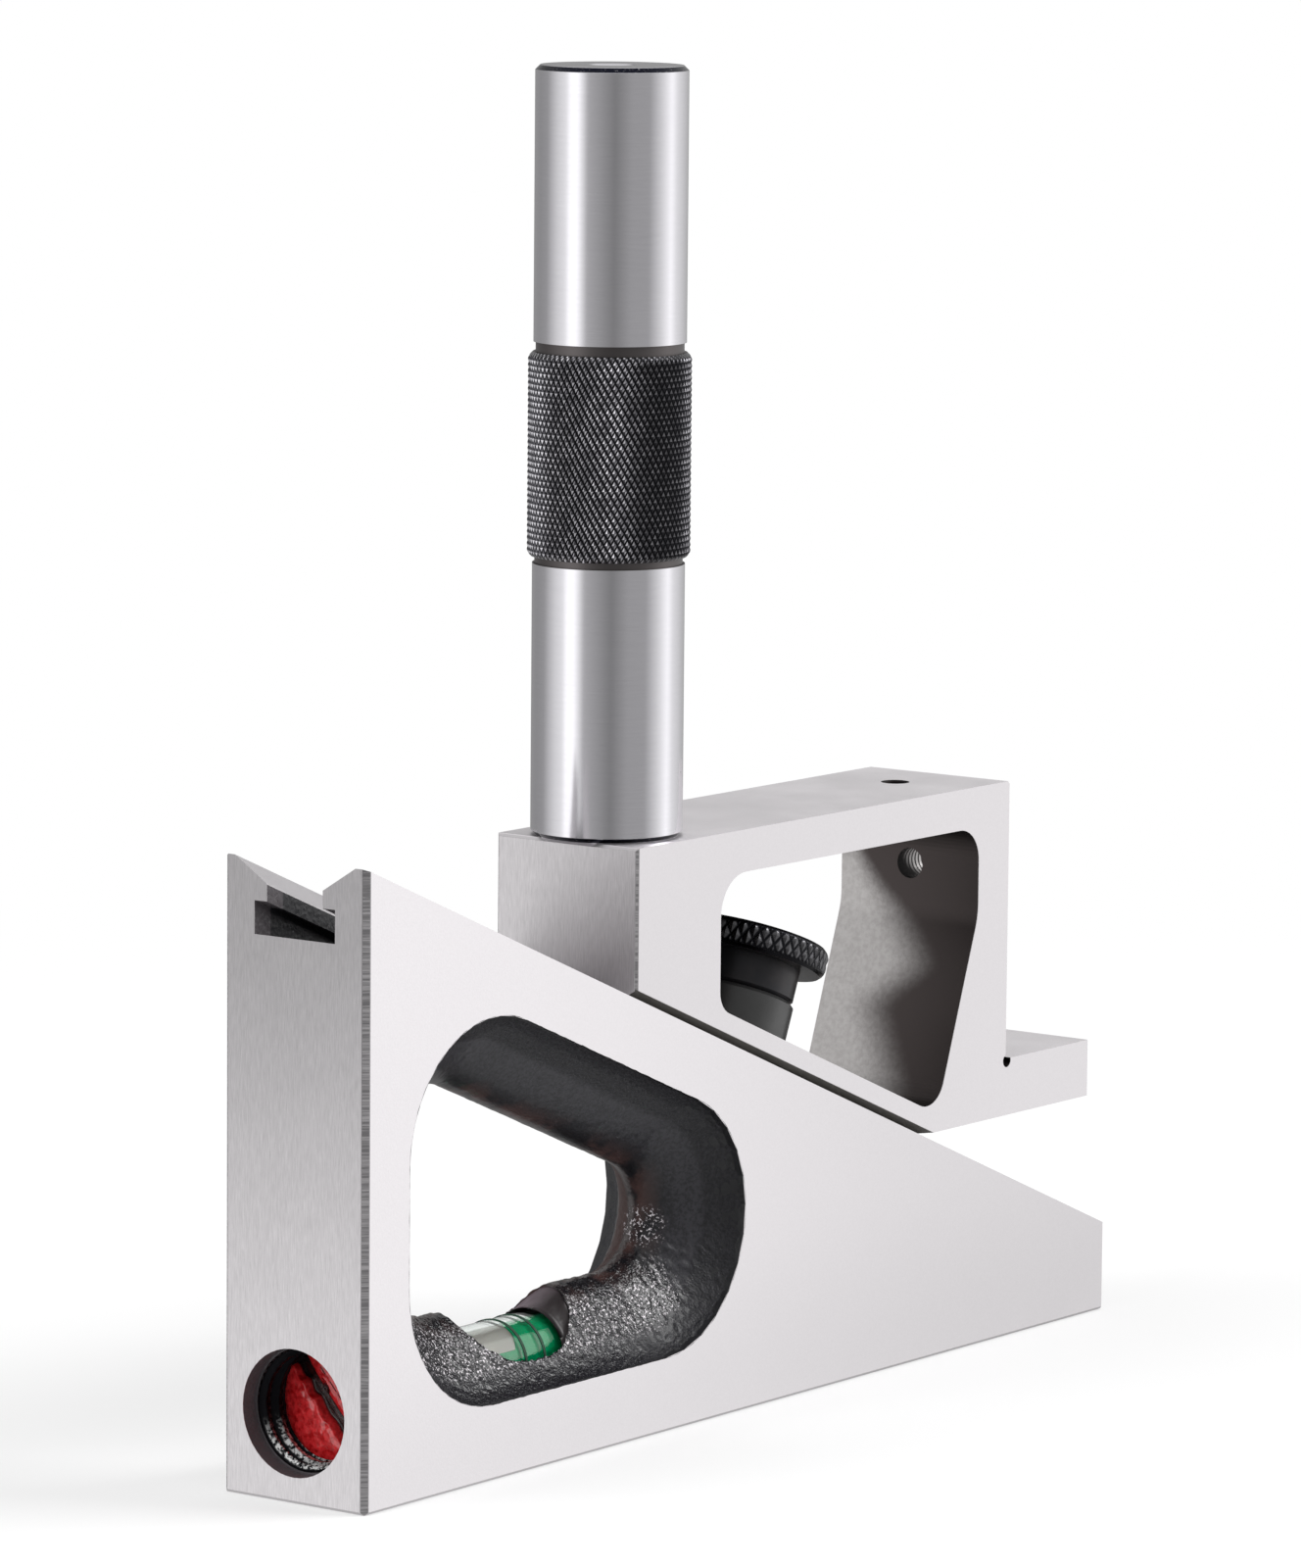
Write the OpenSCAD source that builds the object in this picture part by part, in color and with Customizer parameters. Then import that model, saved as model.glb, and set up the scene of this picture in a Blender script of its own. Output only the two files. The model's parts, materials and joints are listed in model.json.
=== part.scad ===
// Planer gauge: a wedge base, a slide that climbs its V-way, a clamp, a level and a screwed rod.
// Millimetres. X runs along the base from the tall end, Y across it, Z up; the origin is the
// centre of the base's foot.

/* [Base] */
// Length of the base
base_l = 127; // [90:1:180]
// Width of the base and of the slide
base_w = 17.5; // [16:0.5:24]
// Height of the low end
low_h = 9.4; // [8:0.1:20]
// Slope of the incline, degrees
incline = 22.5; // [18:0.5:24]
// Chamfer on the tall end's upright edges
end_bevel = 0.6; // [0.2:0.1:1.2]
// Chamfer on every other ground edge
edge_bevel = 0.3; // [0.1:0.1:0.6]

/* [Base window] */
// Corner radius of the window at the side faces
window_r = 13.2; // [10:0.2:15]
// Wall between the window and the tall end
end_wall = 6.7; // [5:0.1:10]
// Wall between the window and the foot
foot_wall = 7.5; // [6:0.1:9]
// Wall between the window and the incline
top_wall = 6.6; // [4:0.1:9]
// How far the cast wall swells inwards at mid width
ridge_in = 7.45; // [4:0.05:8]
// Straight pieces in each corner of the window
corner_steps = 12; // [6:1:20]
// Rings from mid width to each side face
ring_steps = 12; // [6:1:16]

/* [Way and T-slot] */
// Width of the flat left on each side of the V
way_flat = 1.4; // [1:0.1:2]
// Slope of each flank from the incline, degrees
flank = 30; // [25:1:40]
// Width of the slot's neck
neck_w = 6.8; // [6:0.1:8]
// Depth of the neck under the incline
neck_d = 3.85; // [3.2:0.05:4.5]
// Width of the wide part of the slot
tee_w = 9.8; // [9:0.1:11]
// Depth of the bottom of the slot under the incline
tee_d = 6.85; // [6.5:0.05:7.5]

/* [Level bore] */
// Height of the bore's axis above the foot
level_z = 8.8; // [8.5:0.1:9.5]
// Radius of the mouth
mouth_r = 6.25; // [6:0.05:6.6]
// Depth of the plain mouth
mouth_d = 2; // [1:0.5:3]
// Radius of the tapped bore for the plug
plug_hole_r = 6; // [5.6:0.05:6]
// Length of the tapped bore past the rubber cup
thread_out = 0.2; // [0.1:0.1:1]
// Radius of the small bore round the vial
seat_r = 4.7; // [4.4:0.05:4.8]
// From the tall end to the end of the small bore
seat_end = 41.6; // [41.4:0.2:46]
// From the tall end to the middle of the oval hole that shows the vial
sight_x = 31.3; // [29:0.1:33]
// Length of that hole
sight_l = 18.2; // [14:0.2:19]
// Width of that hole
sight_w = 11.3; // [10:0.1:11.8]
// Straight pieces round that hole
sight_steps = 48; // [24:4:96]

/* [Slide] */
// From the tall end to the slide's left face
slide_x = 42.5; // [30:0.5:50]
// Height of the slide's left face above the incline's edge
slide_lift = 14.9; // [13:0.1:20]
// Length of the slide's top
slide_top_l = 65.1; // [62:0.1:75]
// Overhang of the ledge past the right wall
ledge_l = 15.6; // [10:0.1:20]
// From the slide's right face back to where its underside leaves the incline
foot_in = 15.3; // [12:0.1:20]
// Thickness of the ledge
ledge_t = 6.05; // [5:0.05:7]
// Depth of the V ridge under the incline
ridge_d = 1.8; // [1.2:0.1:2]
// Radius of the relief hole in the ledge's corner
relief_r = 0.7; // [0.4:0.1:1]

/* [Slide window] */
// Thickness of the left block under the rod
block_t = 14; // [13:0.5:16]
// Thickness of the top wall
roof_t = 4.3; // [3:0.1:6]
// Thickness of the right wall
wall_t = 5.5; // [4:0.1:7]
// Thickness of the sloping floor at the side faces
floor_t = 1.95; // [1.5:0.05:3]
// From the right wall back to the window's lower right corner
window_foot_in = 7.1; // [5:0.1:9]
// From the slide's top to where the right side starts to slant
slant_drop = 13.6; // [11:0.1:18]
// Corner radius, upper left
corner_a = 4.2; // [2:0.1:6]
// Corner radius, upper right
corner_b = 3.5; // [2:0.1:6]
// Corner radius, slant
corner_c = 8; // [4:0.5:12]
// Corner radius, lower right
corner_d = 3.2; // [2:0.1:5]
// Corner radius, lower left
corner_e = 2.5; // [1.5:0.1:4]
// Radius of the tapped hole in the top
top_hole_r = 1.25; // [1:0.05:2]
// From the slide's right face back to the top hole's axis
top_hole_in = 8.4; // [7.5:0.1:14]
// Radius of the tapped hole in the right wall
side_hole_r = 1.6; // [1:0.05:2]
// From the slide's top down to that hole's axis
side_hole_drop = 8.9; // [7:0.1:11]
// Width of the countersink round a small tapped hole
sink = 0.25; // [0.1:0.05:0.5]

/* [Clamp] */
// From the slide's left face to where the clamp's axis meets the incline
clamp_in = 25.7; // [24:0.1:32]
// Radius of the clamp stud
stud_r = 2.5; // [2:0.1:2.8]
// Height of the stud's end above the incline
stud_top = 13; // [11:0.1:15]
// Radius of the collar
collar_r = 6.2; // [5:0.1:7]
// Height of the collar
collar_h = 4.6; // [3:0.1:6]
// Radius of the knob's hub
hub_r = 6; // [5:0.1:7]
// Height of the hub under the disc
hub_h = 3.4; // [2:0.1:5]
// Chamfer where hub and collar meet
meet_bevel = 0.35; // [0.2:0.05:0.6]
// Radius at the root of the disc's knurl
disc_r = 8.3; // [7.5:0.05:8.4]
// Thickness of the disc
disc_h = 2.8; // [2:0.1:4]
// Chamfer on the disc's rims
disc_bevel = 0.3; // [0.1:0.05:0.6]
// Length and width of the T-nut
nut_w = 9.6; // [8:0.1:9.7]
// Thickness of the T-nut
nut_t = 2.3; // [1.8:0.1:2.5]

/* [Rod] */
// From the slide's left face to the rod's axis
rod_in = 6.5; // [6:0.1:8]
// Length of the rod
rod_l = 76.2; // [50:0.1:110]
// Radius of the ground part
rod_r = 7.58; // [6:0.01:8]
// Radius of the grooves beside the knurl
groove_r = 7.35; // [5.5:0.05:7.5]
// Radius at the root of the knurl
knurl_r = 7.9; // [7.6:0.05:8.4]
// From the rod's foot to the knurl
knurl_z = 27.8; // [20:0.1:40]
// Length of the knurled part
knurl_l = 20.2; // [10:0.1:25]
// Height of the groove under the knurl
groove_low = 0.7; // [0.4:0.1:1.5]
// Height of the groove over the knurl
groove_high = 1; // [0.4:0.1:1.5]
// Chamfer at both ends of the rod
rod_bevel = 0.5; // [0.3:0.1:1.2]
// Radius of the tapped holes for the rod's stud
tap_r = 2.1; // [1.8:0.05:2.6]
// Depth of those holes
tap_d = 9; // [7:0.5:10]
// Depth of the tapped hole in the rod's top
top_tap_d = 10; // [8:0.5:14]

/* [Level] */
// Radius of the glass vial
vial_r = 4.1; // [3.9:0.05:4.15]
// Length of the vial
vial_l = 30; // [26:0.5:30]
// Wall of the glass tube
glass_t = 0.6; // [0.4:0.05:0.9]
// Thickness of the tube's closed ends
glass_end = 1.2; // [0.8:0.1:2]
// From the tall end to the plug's face
plug_in = 5.8; // [4:0.1:6.5]
// Length of the plug
plug_l = 3.4; // [2.5:0.1:4]
// Width of the plug's screwdriver slot
slot_w = 2; // [1:0.1:2.5]
// Depth of that slot
slot_d = 1.6; // [0.8:0.1:2]
// Turn of the slot about the bore, degrees
slot_turn = 138; // [90:1:180]
// Thickness of the rubber cup's bottom
cup_t = 1; // [0.6:0.1:1.5]
// Length of the cup's rim over the vial
cup_rim = 2.4; // [1.5:0.1:3]
// From the vial's middle to the inner index lines
index_in = 5.9; // [4:0.1:7]
// From the inner to the outer index lines
index_gap = 3; // [2:0.1:4]
// Length of the putty's rim over the vial
bed_rim = 0.6; // [0.4:0.1:1]
// Width of an index line
index_w = 0.35; // [0.2:0.05:0.6]
// Length of the air bubble
bubble_l = 11.6; // [8:0.1:13]
// Depth of the air bubble
bubble_d = 1.9; // [1:0.1:2.4]

/* [Clearances] */
// Gap between the way's flank and the slide's
way_fit = 0.02; // [0.01:0.01:0.1]
// Radial gap of a stud in a plain hole
slide_fit = 0.05; // [0.02:0.01:0.1]
// Radial gap of a screw in its thread
screw_fit = 0.02; // [0.01:0.01:0.05]
// Gap between two pieces that rest on each other
seat_gap = 0.02; // [0.01:0.01:0.05]

/* [Show] */
// Piece to draw

/* [Hidden] */
$fn = 96;
overrun = 2;
hole_steps = 48;
round_share = 0.95;
oval_share = 0.88;
half_w = base_w / 2;
slope = tan(incline);
tall_h = low_h + base_l * slope;
way_l = 2 * (base_l + tall_h);
flank_run = half_w - way_flat;
v_depth = (flank_run - neck_w / 2) * tan(flank);
flank_lift = way_fit / cos(flank);
edge_h = way_flat * tan(flank) + flank_lift;
roof_drop = top_wall / cos(incline);
room_h = tall_h - end_wall * slope - roof_drop - foot_wall;
room_l = room_h / slope;
room_r = (room_h + room_l - norm([room_h, room_l])) / 2;
round_r = min(window_r, room_r * round_share);
window_x = end_wall + round_r;
window_z = foot_wall + round_r;
window_run = (tall_h - window_z - roof_drop - round_r / cos(incline)) / slope - window_x;
slide_z = tall_h - slide_x * slope + slide_lift;
slide_right = slide_x + slide_top_l;
ledge_end = slide_right + ledge_l;
ledge_low = tall_h - (slide_right - foot_in) * slope;
ledge_z = ledge_low + ledge_t;
rod_x = slide_x + rod_in;
clamp_x = slide_x + clamp_in;
inner_left = slide_x + block_t;
inner_right = slide_right - wall_t;
window_foot_x = inner_right - window_foot_in;
floor_h = edge_h + floor_t;
collar_low = floor_h + seat_gap;
hub_low = collar_low + collar_h + seat_gap;
disc_low = hub_low + hub_h;
nut_top = -neck_d - seat_gap;
knob_bore_r = stud_r + screw_fit;
guide_r = stud_r + slide_fit;
rod_stud_r = tap_r - slide_fit;
rod_tap_r = rod_stud_r + screw_fit;
rod_low = slide_z + seat_gap;
stud_bevel = stud_r / 5;
plug_r = plug_hole_r - screw_fit;
cup_x = plug_in + plug_l + seat_gap;
vial_x = cup_x + cup_t + seat_gap;
thread_end = cup_x + cup_t + cup_rim + thread_out;
vial_mid = vial_x + vial_l / 2;
vial_end = vial_x + vial_l;
bore_in_r = vial_r - glass_t;
fill_r = bore_in_r - seat_gap;
bed_x = vial_end + seat_gap;
bubble_cut = fill_r - bubble_d;
index_t = glass_t / 6;

steel = [0.78, 0.78, 0.79];
ground = [0.84, 0.83, 0.83];
black = [0.07, 0.07, 0.08];
oxide = [0.12, 0.12, 0.13];
red = [0.72, 0.06, 0.06];
glass = [0.85, 0.95, 0.9, 0.35];
green = [0.05, 0.55, 0.3, 0.8];
air = [0.92, 0.97, 0.94, 0.35];
rubber = [0.09, 0.09, 0.09];
putty = [0.78, 0.77, 0.72];

// Height of the incline at a distance from the tall end
function slope_z(x) = tall_h - x * slope;

// Height, at a distance from the tall end, of a line parallel to the incline and lift above it
function lifted_z(x, lift) = slope_z(x) + lift / cos(incline);

// Inward swelling of the cast wall at a distance from mid width
function swell(y) = ridge_in * (1 + cos(180 * y / half_w)) / 2;

// Keeps the sign of a value and raises its size to a power
function powered(value, power) = sign(value) * pow(abs(value), power);

// Arc of points about a centre
function arc(c, r, from, to, steps) = [for (i = [0:steps])
    let(a = from + (to - from) * i / steps) [c[0] + r * cos(a), c[1] + r * sin(a)]];

// The window's outline, moved inwards by the swelling
function window_ring(inset) = concat(
    arc([window_x, window_z], round_r - inset, 180, 270, corner_steps),
    arc([window_x + window_run, window_z], round_r - inset, -90, 90 - incline, corner_steps),
    arc([window_x, window_z + window_run * slope], round_r - inset, 90 - incline, 180,
        corner_steps));

// Unit vector from one point to the other
function unit(a, b) = (b - a) / norm(b - a);

// A polygon's corner rounded with its own radius
function corner(p, q, s, r) =
    let(u = unit(q, p), v = unit(q, s), half = acos(u * v) / 2,
        c = q + (u + v) / norm(u + v) * r / sin(half),
        d = q + u * r / tan(half) - c, e = q + v * r / tan(half) - c,
        from = atan2(d[1], d[0]), sweep = atan2(d[0] * e[1] - d[1] * e[0], d * e))
    arc(c, r, from, from + sweep, corner_steps);

// A polygon with every corner rounded
function rounded(p, r) = [for (i = [0:len(p) - 1])
    each corner(p[(i + len(p) - 1) % len(p)], p[i], p[(i + 1) % len(p)], r[i])];

// Moves a piece drawn from the tall end to the frame's origin
module from_end() {
    translate([-base_l / 2, 0, 0])
        children();
}

// Places a piece on the incline with its own Z square to it
module on_incline(x) {
    from_end()
        translate([x, 0, slope_z(x)])
            rotate([0, incline, 0])
                children();
}

// An outline in X and Z, carried across the width
module across(width) {
    rotate([90, 0, 0])
        linear_extrude(width, center = true)
            children();
}

// An outline in Y and Z, carried along X
module along(length) {
    rotate([90, 0, 90])
        linear_extrude(length, center = true)
            children();
}

// A cylinder along X from a to b
module bore_x(a, b, r) {
    translate([a, 0, 0])
        rotate([0, 90, 0])
            cylinder(h = b - a, r = r);
}

// A square bar set on edge that chamfers a straight edge along Z
module bevel_bar(length, size) {
    rotate([0, 0, 45])
        cube([size * sqrt(2), size * sqrt(2), length], center = true);
}

// A turned piece from its half outline
module turned() {
    rotate_extrude()
        children();
}

// The casting's window: rings of one outline that close in towards mid width
module window_core() {
    steps = ring_steps + 1;
    count = 3 * (corner_steps + 1);
    points = [for (j = [-steps:steps])
        let(ring = abs(j) < steps, y = ring ? half_w * j / ring_steps : sign(j) * base_w)
        each [for (q = window_ring(ring ? swell(y) : 0)) [q[0], y, q[1]]]];
    last = 2 * steps * count;
    sides = [for (j = [0:2 * steps - 1]) each [for (i = [0:count - 1])
        let(k = (i + 1) % count)
        each [[j * count + i, j * count + k, (j + 1) * count + k],
            [j * count + i, (j + 1) * count + k, (j + 1) * count + i]]]];
    polyhedron(points = points, faces = concat(sides,
        [[for (i = [count - 1:-1:0]) i], [for (i = [0:count - 1]) last + i]]));
}

// The V-way with the T-slot under it
module way_cut() {
    rise = overrun / tan(flank);
    along(way_l)
        polygon([[flank_run + rise, overrun], [-flank_run - rise, overrun],
            [-neck_w / 2, -v_depth], [-neck_w / 2, -neck_d], [-tee_w / 2, -neck_d],
            [-tee_w / 2, -tee_d], [tee_w / 2, -tee_d], [tee_w / 2, -neck_d],
            [neck_w / 2, -neck_d], [neck_w / 2, -v_depth]]);
}

// The bores for the level: mouth, thread and seat
module level_bores() {
    translate([0, 0, level_z]) {
        bore_x(-overrun, mouth_d, mouth_r);
        bore_x(0, thread_end, plug_hole_r);
        bore_x(0, seat_end, seat_r);
    }
}

// The oval hole that shows the vial: upright sides and a round bottom
module sight_hole() {
    half = sight_w / 2;
    intersection() {
        translate([sight_x, 0, 0])
            linear_extrude(foot_wall + ridge_in + overrun)
                polygon([for (i = [0:sight_steps - 1])
                    let(a = 360 * i / sight_steps)
                    [powered(cos(a), oval_share) * sight_l / 2, powered(sin(a), oval_share) * half]]);
        translate([0, 0, level_z]) {
            bore_x(0, base_l, half);
            translate([0, -half, 0])
                cube([base_l, sight_w, tall_h]);
        }
    }
}

module base_body() {
    color(ground)
        from_end()
            difference() {
                across(base_w)
                    polygon([[0, 0], [base_l, 0], [base_l, low_h], [0, tall_h]]);
                window_core();
                translate([0, 0, tall_h])
                    rotate([0, incline, 0])
                        way_cut();
                level_bores();
                sight_hole();
                for (side = [-1, 1]) {
                    translate([0, side * half_w, 0])
                        bevel_bar(tall_h * 3, end_bevel);
                    translate([base_l, side * half_w, 0])
                        bevel_bar(tall_h * 3, edge_bevel);
                    translate([0, side * half_w, 0])
                        rotate([0, 90, 0])
                            bevel_bar(base_l * 3, edge_bevel);
                }
                for (x = [0, base_l])
                    translate([x, 0, 0])
                        rotate([90, 0, 0])
                            bevel_bar(base_w * 2, edge_bevel);
            }
}

// What the flanks take off the slide's underside
module flank_waste() {
    reach = half_w + overrun;
    low = -ridge_d - overrun;
    for (side = [-1, 1])
        along(way_l)
            polygon([[side * reach, (reach - flank_run) * tan(flank) + flank_lift],
                [side * reach, low],
                [side * (flank_run + (low - flank_lift) / tan(flank)), low]]);
}

// The mouth of an upright tapped hole, cut down from the face that it opens on
module countersink(radius) {
    translate([0, 0, -sink])
        cylinder(h = 2 * sink, r1 = radius, r2 = radius + 2 * sink, $fn = hole_steps);
}

// The slide's window outline
module slide_window() {
    polygon(rounded([[inner_left, slide_z - roof_t],
        [inner_left, lifted_z(inner_left, floor_h)],
        [window_foot_x, lifted_z(window_foot_x, floor_h)],
        [inner_right, slide_z - slant_drop], [inner_right, slide_z - roof_t]],
        [corner_a, corner_e, corner_d, corner_c, corner_b]));
}

module slide_body() {
    foot_x = slide_right - foot_in - ridge_d / cos(incline) / slope;
    color(ground)
        difference() {
            from_end()
                difference() {
                    across(base_w)
                        polygon([[slide_x, slide_z], [slide_right, slide_z],
                            [slide_right, ledge_z], [ledge_end, ledge_z],
                            [ledge_end, ledge_low], [foot_x, ledge_low],
                            [slide_x, lifted_z(slide_x, -ridge_d)]]);
                    across(base_w + overrun)
                        slide_window();
                    translate([slide_right + relief_r / 3, 0, ledge_z - relief_r / 3])
                        rotate([90, 0, 0])
                            cylinder(h = base_w + overrun, r = relief_r, center = true,
                                $fn = hole_steps);
                    translate([0, 0, tall_h])
                        rotate([0, incline, 0])
                            flank_waste();
                    translate([rod_x, 0, slide_z - tap_d])
                        cylinder(h = tap_d + overrun, r = tap_r, $fn = hole_steps);
                    translate([slide_right - top_hole_in, 0, slide_z - roof_t - overrun])
                        cylinder(h = roof_t + 2 * overrun, r = top_hole_r, $fn = hole_steps);
                    translate([slide_right - top_hole_in, 0, slide_z])
                        countersink(top_hole_r);
                    translate([rod_x, 0, slide_z])
                        countersink(tap_r);
                    translate([0, 0, slide_z - side_hole_drop])
                        bore_x(inner_right - overrun, slide_right + overrun, side_hole_r,
                            $fn = hole_steps);
                    for (side = [-1, 1])
                        translate([slide_x, side * half_w, slide_z])
                            bevel_bar(tall_h * 2, edge_bevel);
                    for (x = [slide_x, slide_right])
                        translate([x, 0, slide_z])
                            rotate([90, 0, 0])
                                bevel_bar(base_w * 2, edge_bevel);
                }
            on_incline(clamp_x)
                cylinder(h = 2 * (floor_h + overrun), r = guide_r, center = true,
                    $fn = hole_steps);
        }
}

module extension_rod() {
    knurl_end = knurl_z + knurl_l;
    tip = rod_r - rod_bevel;
    step = knurl_r - groove_r;
    color(steel)
        from_end()
            translate([rod_x, 0, rod_low])
                difference() {
                    turned()
                        polygon([[0, 0], [tip, 0], [rod_r, rod_bevel],
                            [rod_r, knurl_z - groove_low], [groove_r, knurl_z - groove_low],
                            [groove_r, knurl_z], [knurl_r - step / 3, knurl_z],
                            [knurl_r, knurl_z + step / 3], [knurl_r, knurl_end - step / 2],
                            [knurl_r - step / 2, knurl_end], [groove_r, knurl_end],
                            [groove_r, knurl_end + groove_high],
                            [rod_r, knurl_end + groove_high], [rod_r, rod_l - rod_bevel],
                            [tip, rod_l], [0, rod_l]]);
                    translate([0, 0, -overrun])
                        cylinder(h = tap_d + overrun, r = rod_tap_r, $fn = hole_steps);
                    translate([0, 0, rod_l - top_tap_d])
                        cylinder(h = top_tap_d + overrun, r = tap_r, $fn = hole_steps);
                    translate([0, 0, rod_l])
                        countersink(tap_r);
                }
}

module rod_stud() {
    length = 2 * tap_d - rod_stud_r;
    color(oxide)
        from_end()
            translate([rod_x, 0, rod_low - length / 2])
                turned()
                    polygon([[0, 0], [rod_stud_r - stud_bevel, 0], [rod_stud_r, stud_bevel],
                        [rod_stud_r, length - stud_bevel], [rod_stud_r - stud_bevel, length],
                        [0, length]]);
}

module clamp_knob() {
    top = disc_low + disc_h;
    color(oxide)
        on_incline(clamp_x)
            turned()
                polygon([[knob_bore_r, hub_low], [hub_r - meet_bevel, hub_low],
                    [hub_r, hub_low + meet_bevel], [hub_r, disc_low],
                    [disc_r - disc_bevel, disc_low], [disc_r, disc_low + disc_bevel],
                    [disc_r, top - disc_bevel], [disc_r - disc_bevel, top],
                    [knob_bore_r, top]]);
}

module clamp_collar() {
    top = collar_low + collar_h;
    color(oxide)
        on_incline(clamp_x)
            turned()
                polygon([[guide_r, collar_low], [collar_r, collar_low],
                    [collar_r, top - meet_bevel], [collar_r - meet_bevel, top],
                    [guide_r, top]]);
}

module clamp_stud() {
    foot = nut_top - nut_t;
    color(oxide)
        on_incline(clamp_x)
            turned()
                polygon([[0, foot], [stud_r, foot], [stud_r, stud_top - stud_bevel],
                    [stud_r - stud_bevel, stud_top], [0, stud_top]]);
}

module t_nut() {
    color(oxide)
        on_incline(clamp_x)
            translate([0, 0, nut_top - nut_t / 2])
                difference() {
                    cube([nut_w, nut_w, nut_t], center = true);
                    cylinder(h = nut_t + overrun, r = knob_bore_r, center = true,
                        $fn = hole_steps);
                    for (x = [-nut_w / 2, nut_w / 2], y = [-nut_w / 2, nut_w / 2])
                        translate([x, y, 0])
                            bevel_bar(nut_t * 2, end_bevel);
                }
}

module plug_screw() {
    color(red)
        from_end()
            translate([plug_in, 0, level_z])
                difference() {
                    rotate([0, 90, 0])
                        turned()
                            polygon([[0, 0], [plug_r - edge_bevel, 0], [plug_r, edge_bevel],
                                [plug_r, plug_l], [0, plug_l]]);
                    rotate([slot_turn, 0, 0])
                        cube([2 * slot_d, slot_w, 3 * plug_r], center = true);
                }
}

module vial_cup() {
    inner = vial_r + seat_gap;
    color(rubber)
        from_end()
            translate([cup_x, 0, level_z])
                rotate([0, 90, 0])
                    turned()
                        polygon([[0, 0], [plug_r, 0], [plug_r, cup_t + cup_rim],
                            [inner, cup_t + cup_rim], [inner, cup_t], [0, cup_t]]);
}

module vial_tube() {
    color(glass)
        from_end()
            translate([vial_x, 0, level_z])
                rotate([0, 90, 0])
                    difference() {
                        cylinder(h = vial_l, r = vial_r);
                        translate([0, 0, glass_end])
                            cylinder(h = vial_l - 2 * glass_end, r = bore_in_r);
                    }
}

// The air's share of the vial: a flat-bottomed cap of the filling with rounded ends
module air_space(gap) {
    round_r = fill_r - bubble_cut;
    translate([vial_mid, 0, level_z])
        intersection() {
            rotate([0, 90, 0])
                cylinder(h = bubble_l + 2 * gap, r = fill_r + gap, center = true);
            translate([0, 0, bubble_cut - gap])
                linear_extrude(fill_r)
                    polygon(rounded([[-bubble_l / 2 - gap, -fill_r], [bubble_l / 2 + gap, -fill_r],
                        [bubble_l / 2 + gap, fill_r], [-bubble_l / 2 - gap, fill_r]],
                        [round_r, round_r, round_r, round_r]));
        }
}

module vial_liquid() {
    color(green)
        from_end()
            difference() {
                translate([0, 0, level_z])
                    bore_x(vial_x + glass_end + seat_gap, vial_end - glass_end - seat_gap, fill_r);
                air_space(seat_gap);
            }
}

module vial_bubble() {
    color(air)
        from_end()
            air_space(0);
}

module vial_index_lines() {
    low = vial_r + seat_gap;
    color(black)
        from_end()
            for (side = [-1, 1], off = [index_in, index_in + index_gap])
                translate([vial_mid + side * off, 0, level_z])
                    rotate([0, 90, 0])
                        difference() {
                            cylinder(h = index_w, r = low + index_t, center = true);
                            cylinder(h = index_w * 2, r = low, center = true);
                        }
}

module vial_bed() {
    inner = vial_r + seat_gap;
    outer = seat_r - seat_gap;
    length = seat_end - seat_gap - bed_x;
    color(putty)
        from_end()
            translate([bed_x, 0, level_z])
                rotate([0, 90, 0])
                    turned()
                        polygon([[0, 0], [inner, 0], [inner, -bed_rim], [outer, -bed_rim],
                            [outer, length], [0, length]]);
}

base_body();
slide_body();
extension_rod();
rod_stud();
clamp_knob();
clamp_collar();
clamp_stud();
t_nut();
plug_screw();
vial_cup();
vial_tube();
vial_liquid();
vial_bubble();
vial_index_lines();
vial_bed();
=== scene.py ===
"""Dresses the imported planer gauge: ground faces, knurls, screw thread, cast enamel and lacquer.

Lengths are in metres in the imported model's frame: X runs along the base from the tall end, Y
across it away from the near face, Z up, and the origin is the centre of the foot. Finishes read
object coordinates in millimetres, so their own sizes are in millimetres.
"""
import json
import logging
import math
from dataclasses import dataclass
from enum import Enum, IntEnum

import bmesh
import bpy
import numpy as np
from mathutils import Matrix, Vector


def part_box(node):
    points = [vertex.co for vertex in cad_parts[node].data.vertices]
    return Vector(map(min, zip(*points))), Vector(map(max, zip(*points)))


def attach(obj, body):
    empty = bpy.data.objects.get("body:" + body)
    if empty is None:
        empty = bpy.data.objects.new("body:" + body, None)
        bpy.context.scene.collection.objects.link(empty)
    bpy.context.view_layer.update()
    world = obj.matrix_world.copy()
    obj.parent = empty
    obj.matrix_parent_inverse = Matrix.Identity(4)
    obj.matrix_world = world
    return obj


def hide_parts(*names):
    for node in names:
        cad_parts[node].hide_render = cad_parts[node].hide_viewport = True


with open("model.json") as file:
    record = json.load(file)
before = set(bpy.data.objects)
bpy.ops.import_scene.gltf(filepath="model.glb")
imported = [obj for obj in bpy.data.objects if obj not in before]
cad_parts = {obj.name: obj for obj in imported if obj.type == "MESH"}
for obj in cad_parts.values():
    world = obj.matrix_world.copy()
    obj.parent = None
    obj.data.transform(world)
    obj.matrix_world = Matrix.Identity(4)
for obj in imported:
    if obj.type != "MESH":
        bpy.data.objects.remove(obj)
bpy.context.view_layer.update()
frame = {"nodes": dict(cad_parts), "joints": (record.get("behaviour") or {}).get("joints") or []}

MM = 0.001
TURN = 2 * math.pi
LOG = logging.getLogger("planer_gauge")

Colour = tuple[float, float, float, float]
Pair = tuple[float, float]
Triple = tuple[float, float, float]
Socket = bpy.types.NodeSocket
Sockets = dict[str, Socket]
Feed = float | tuple | Socket


def grey(level: float) -> Colour:
    """Returns an opaque neutral colour of one linear level."""
    return (level, level, level, 1.0)


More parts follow.
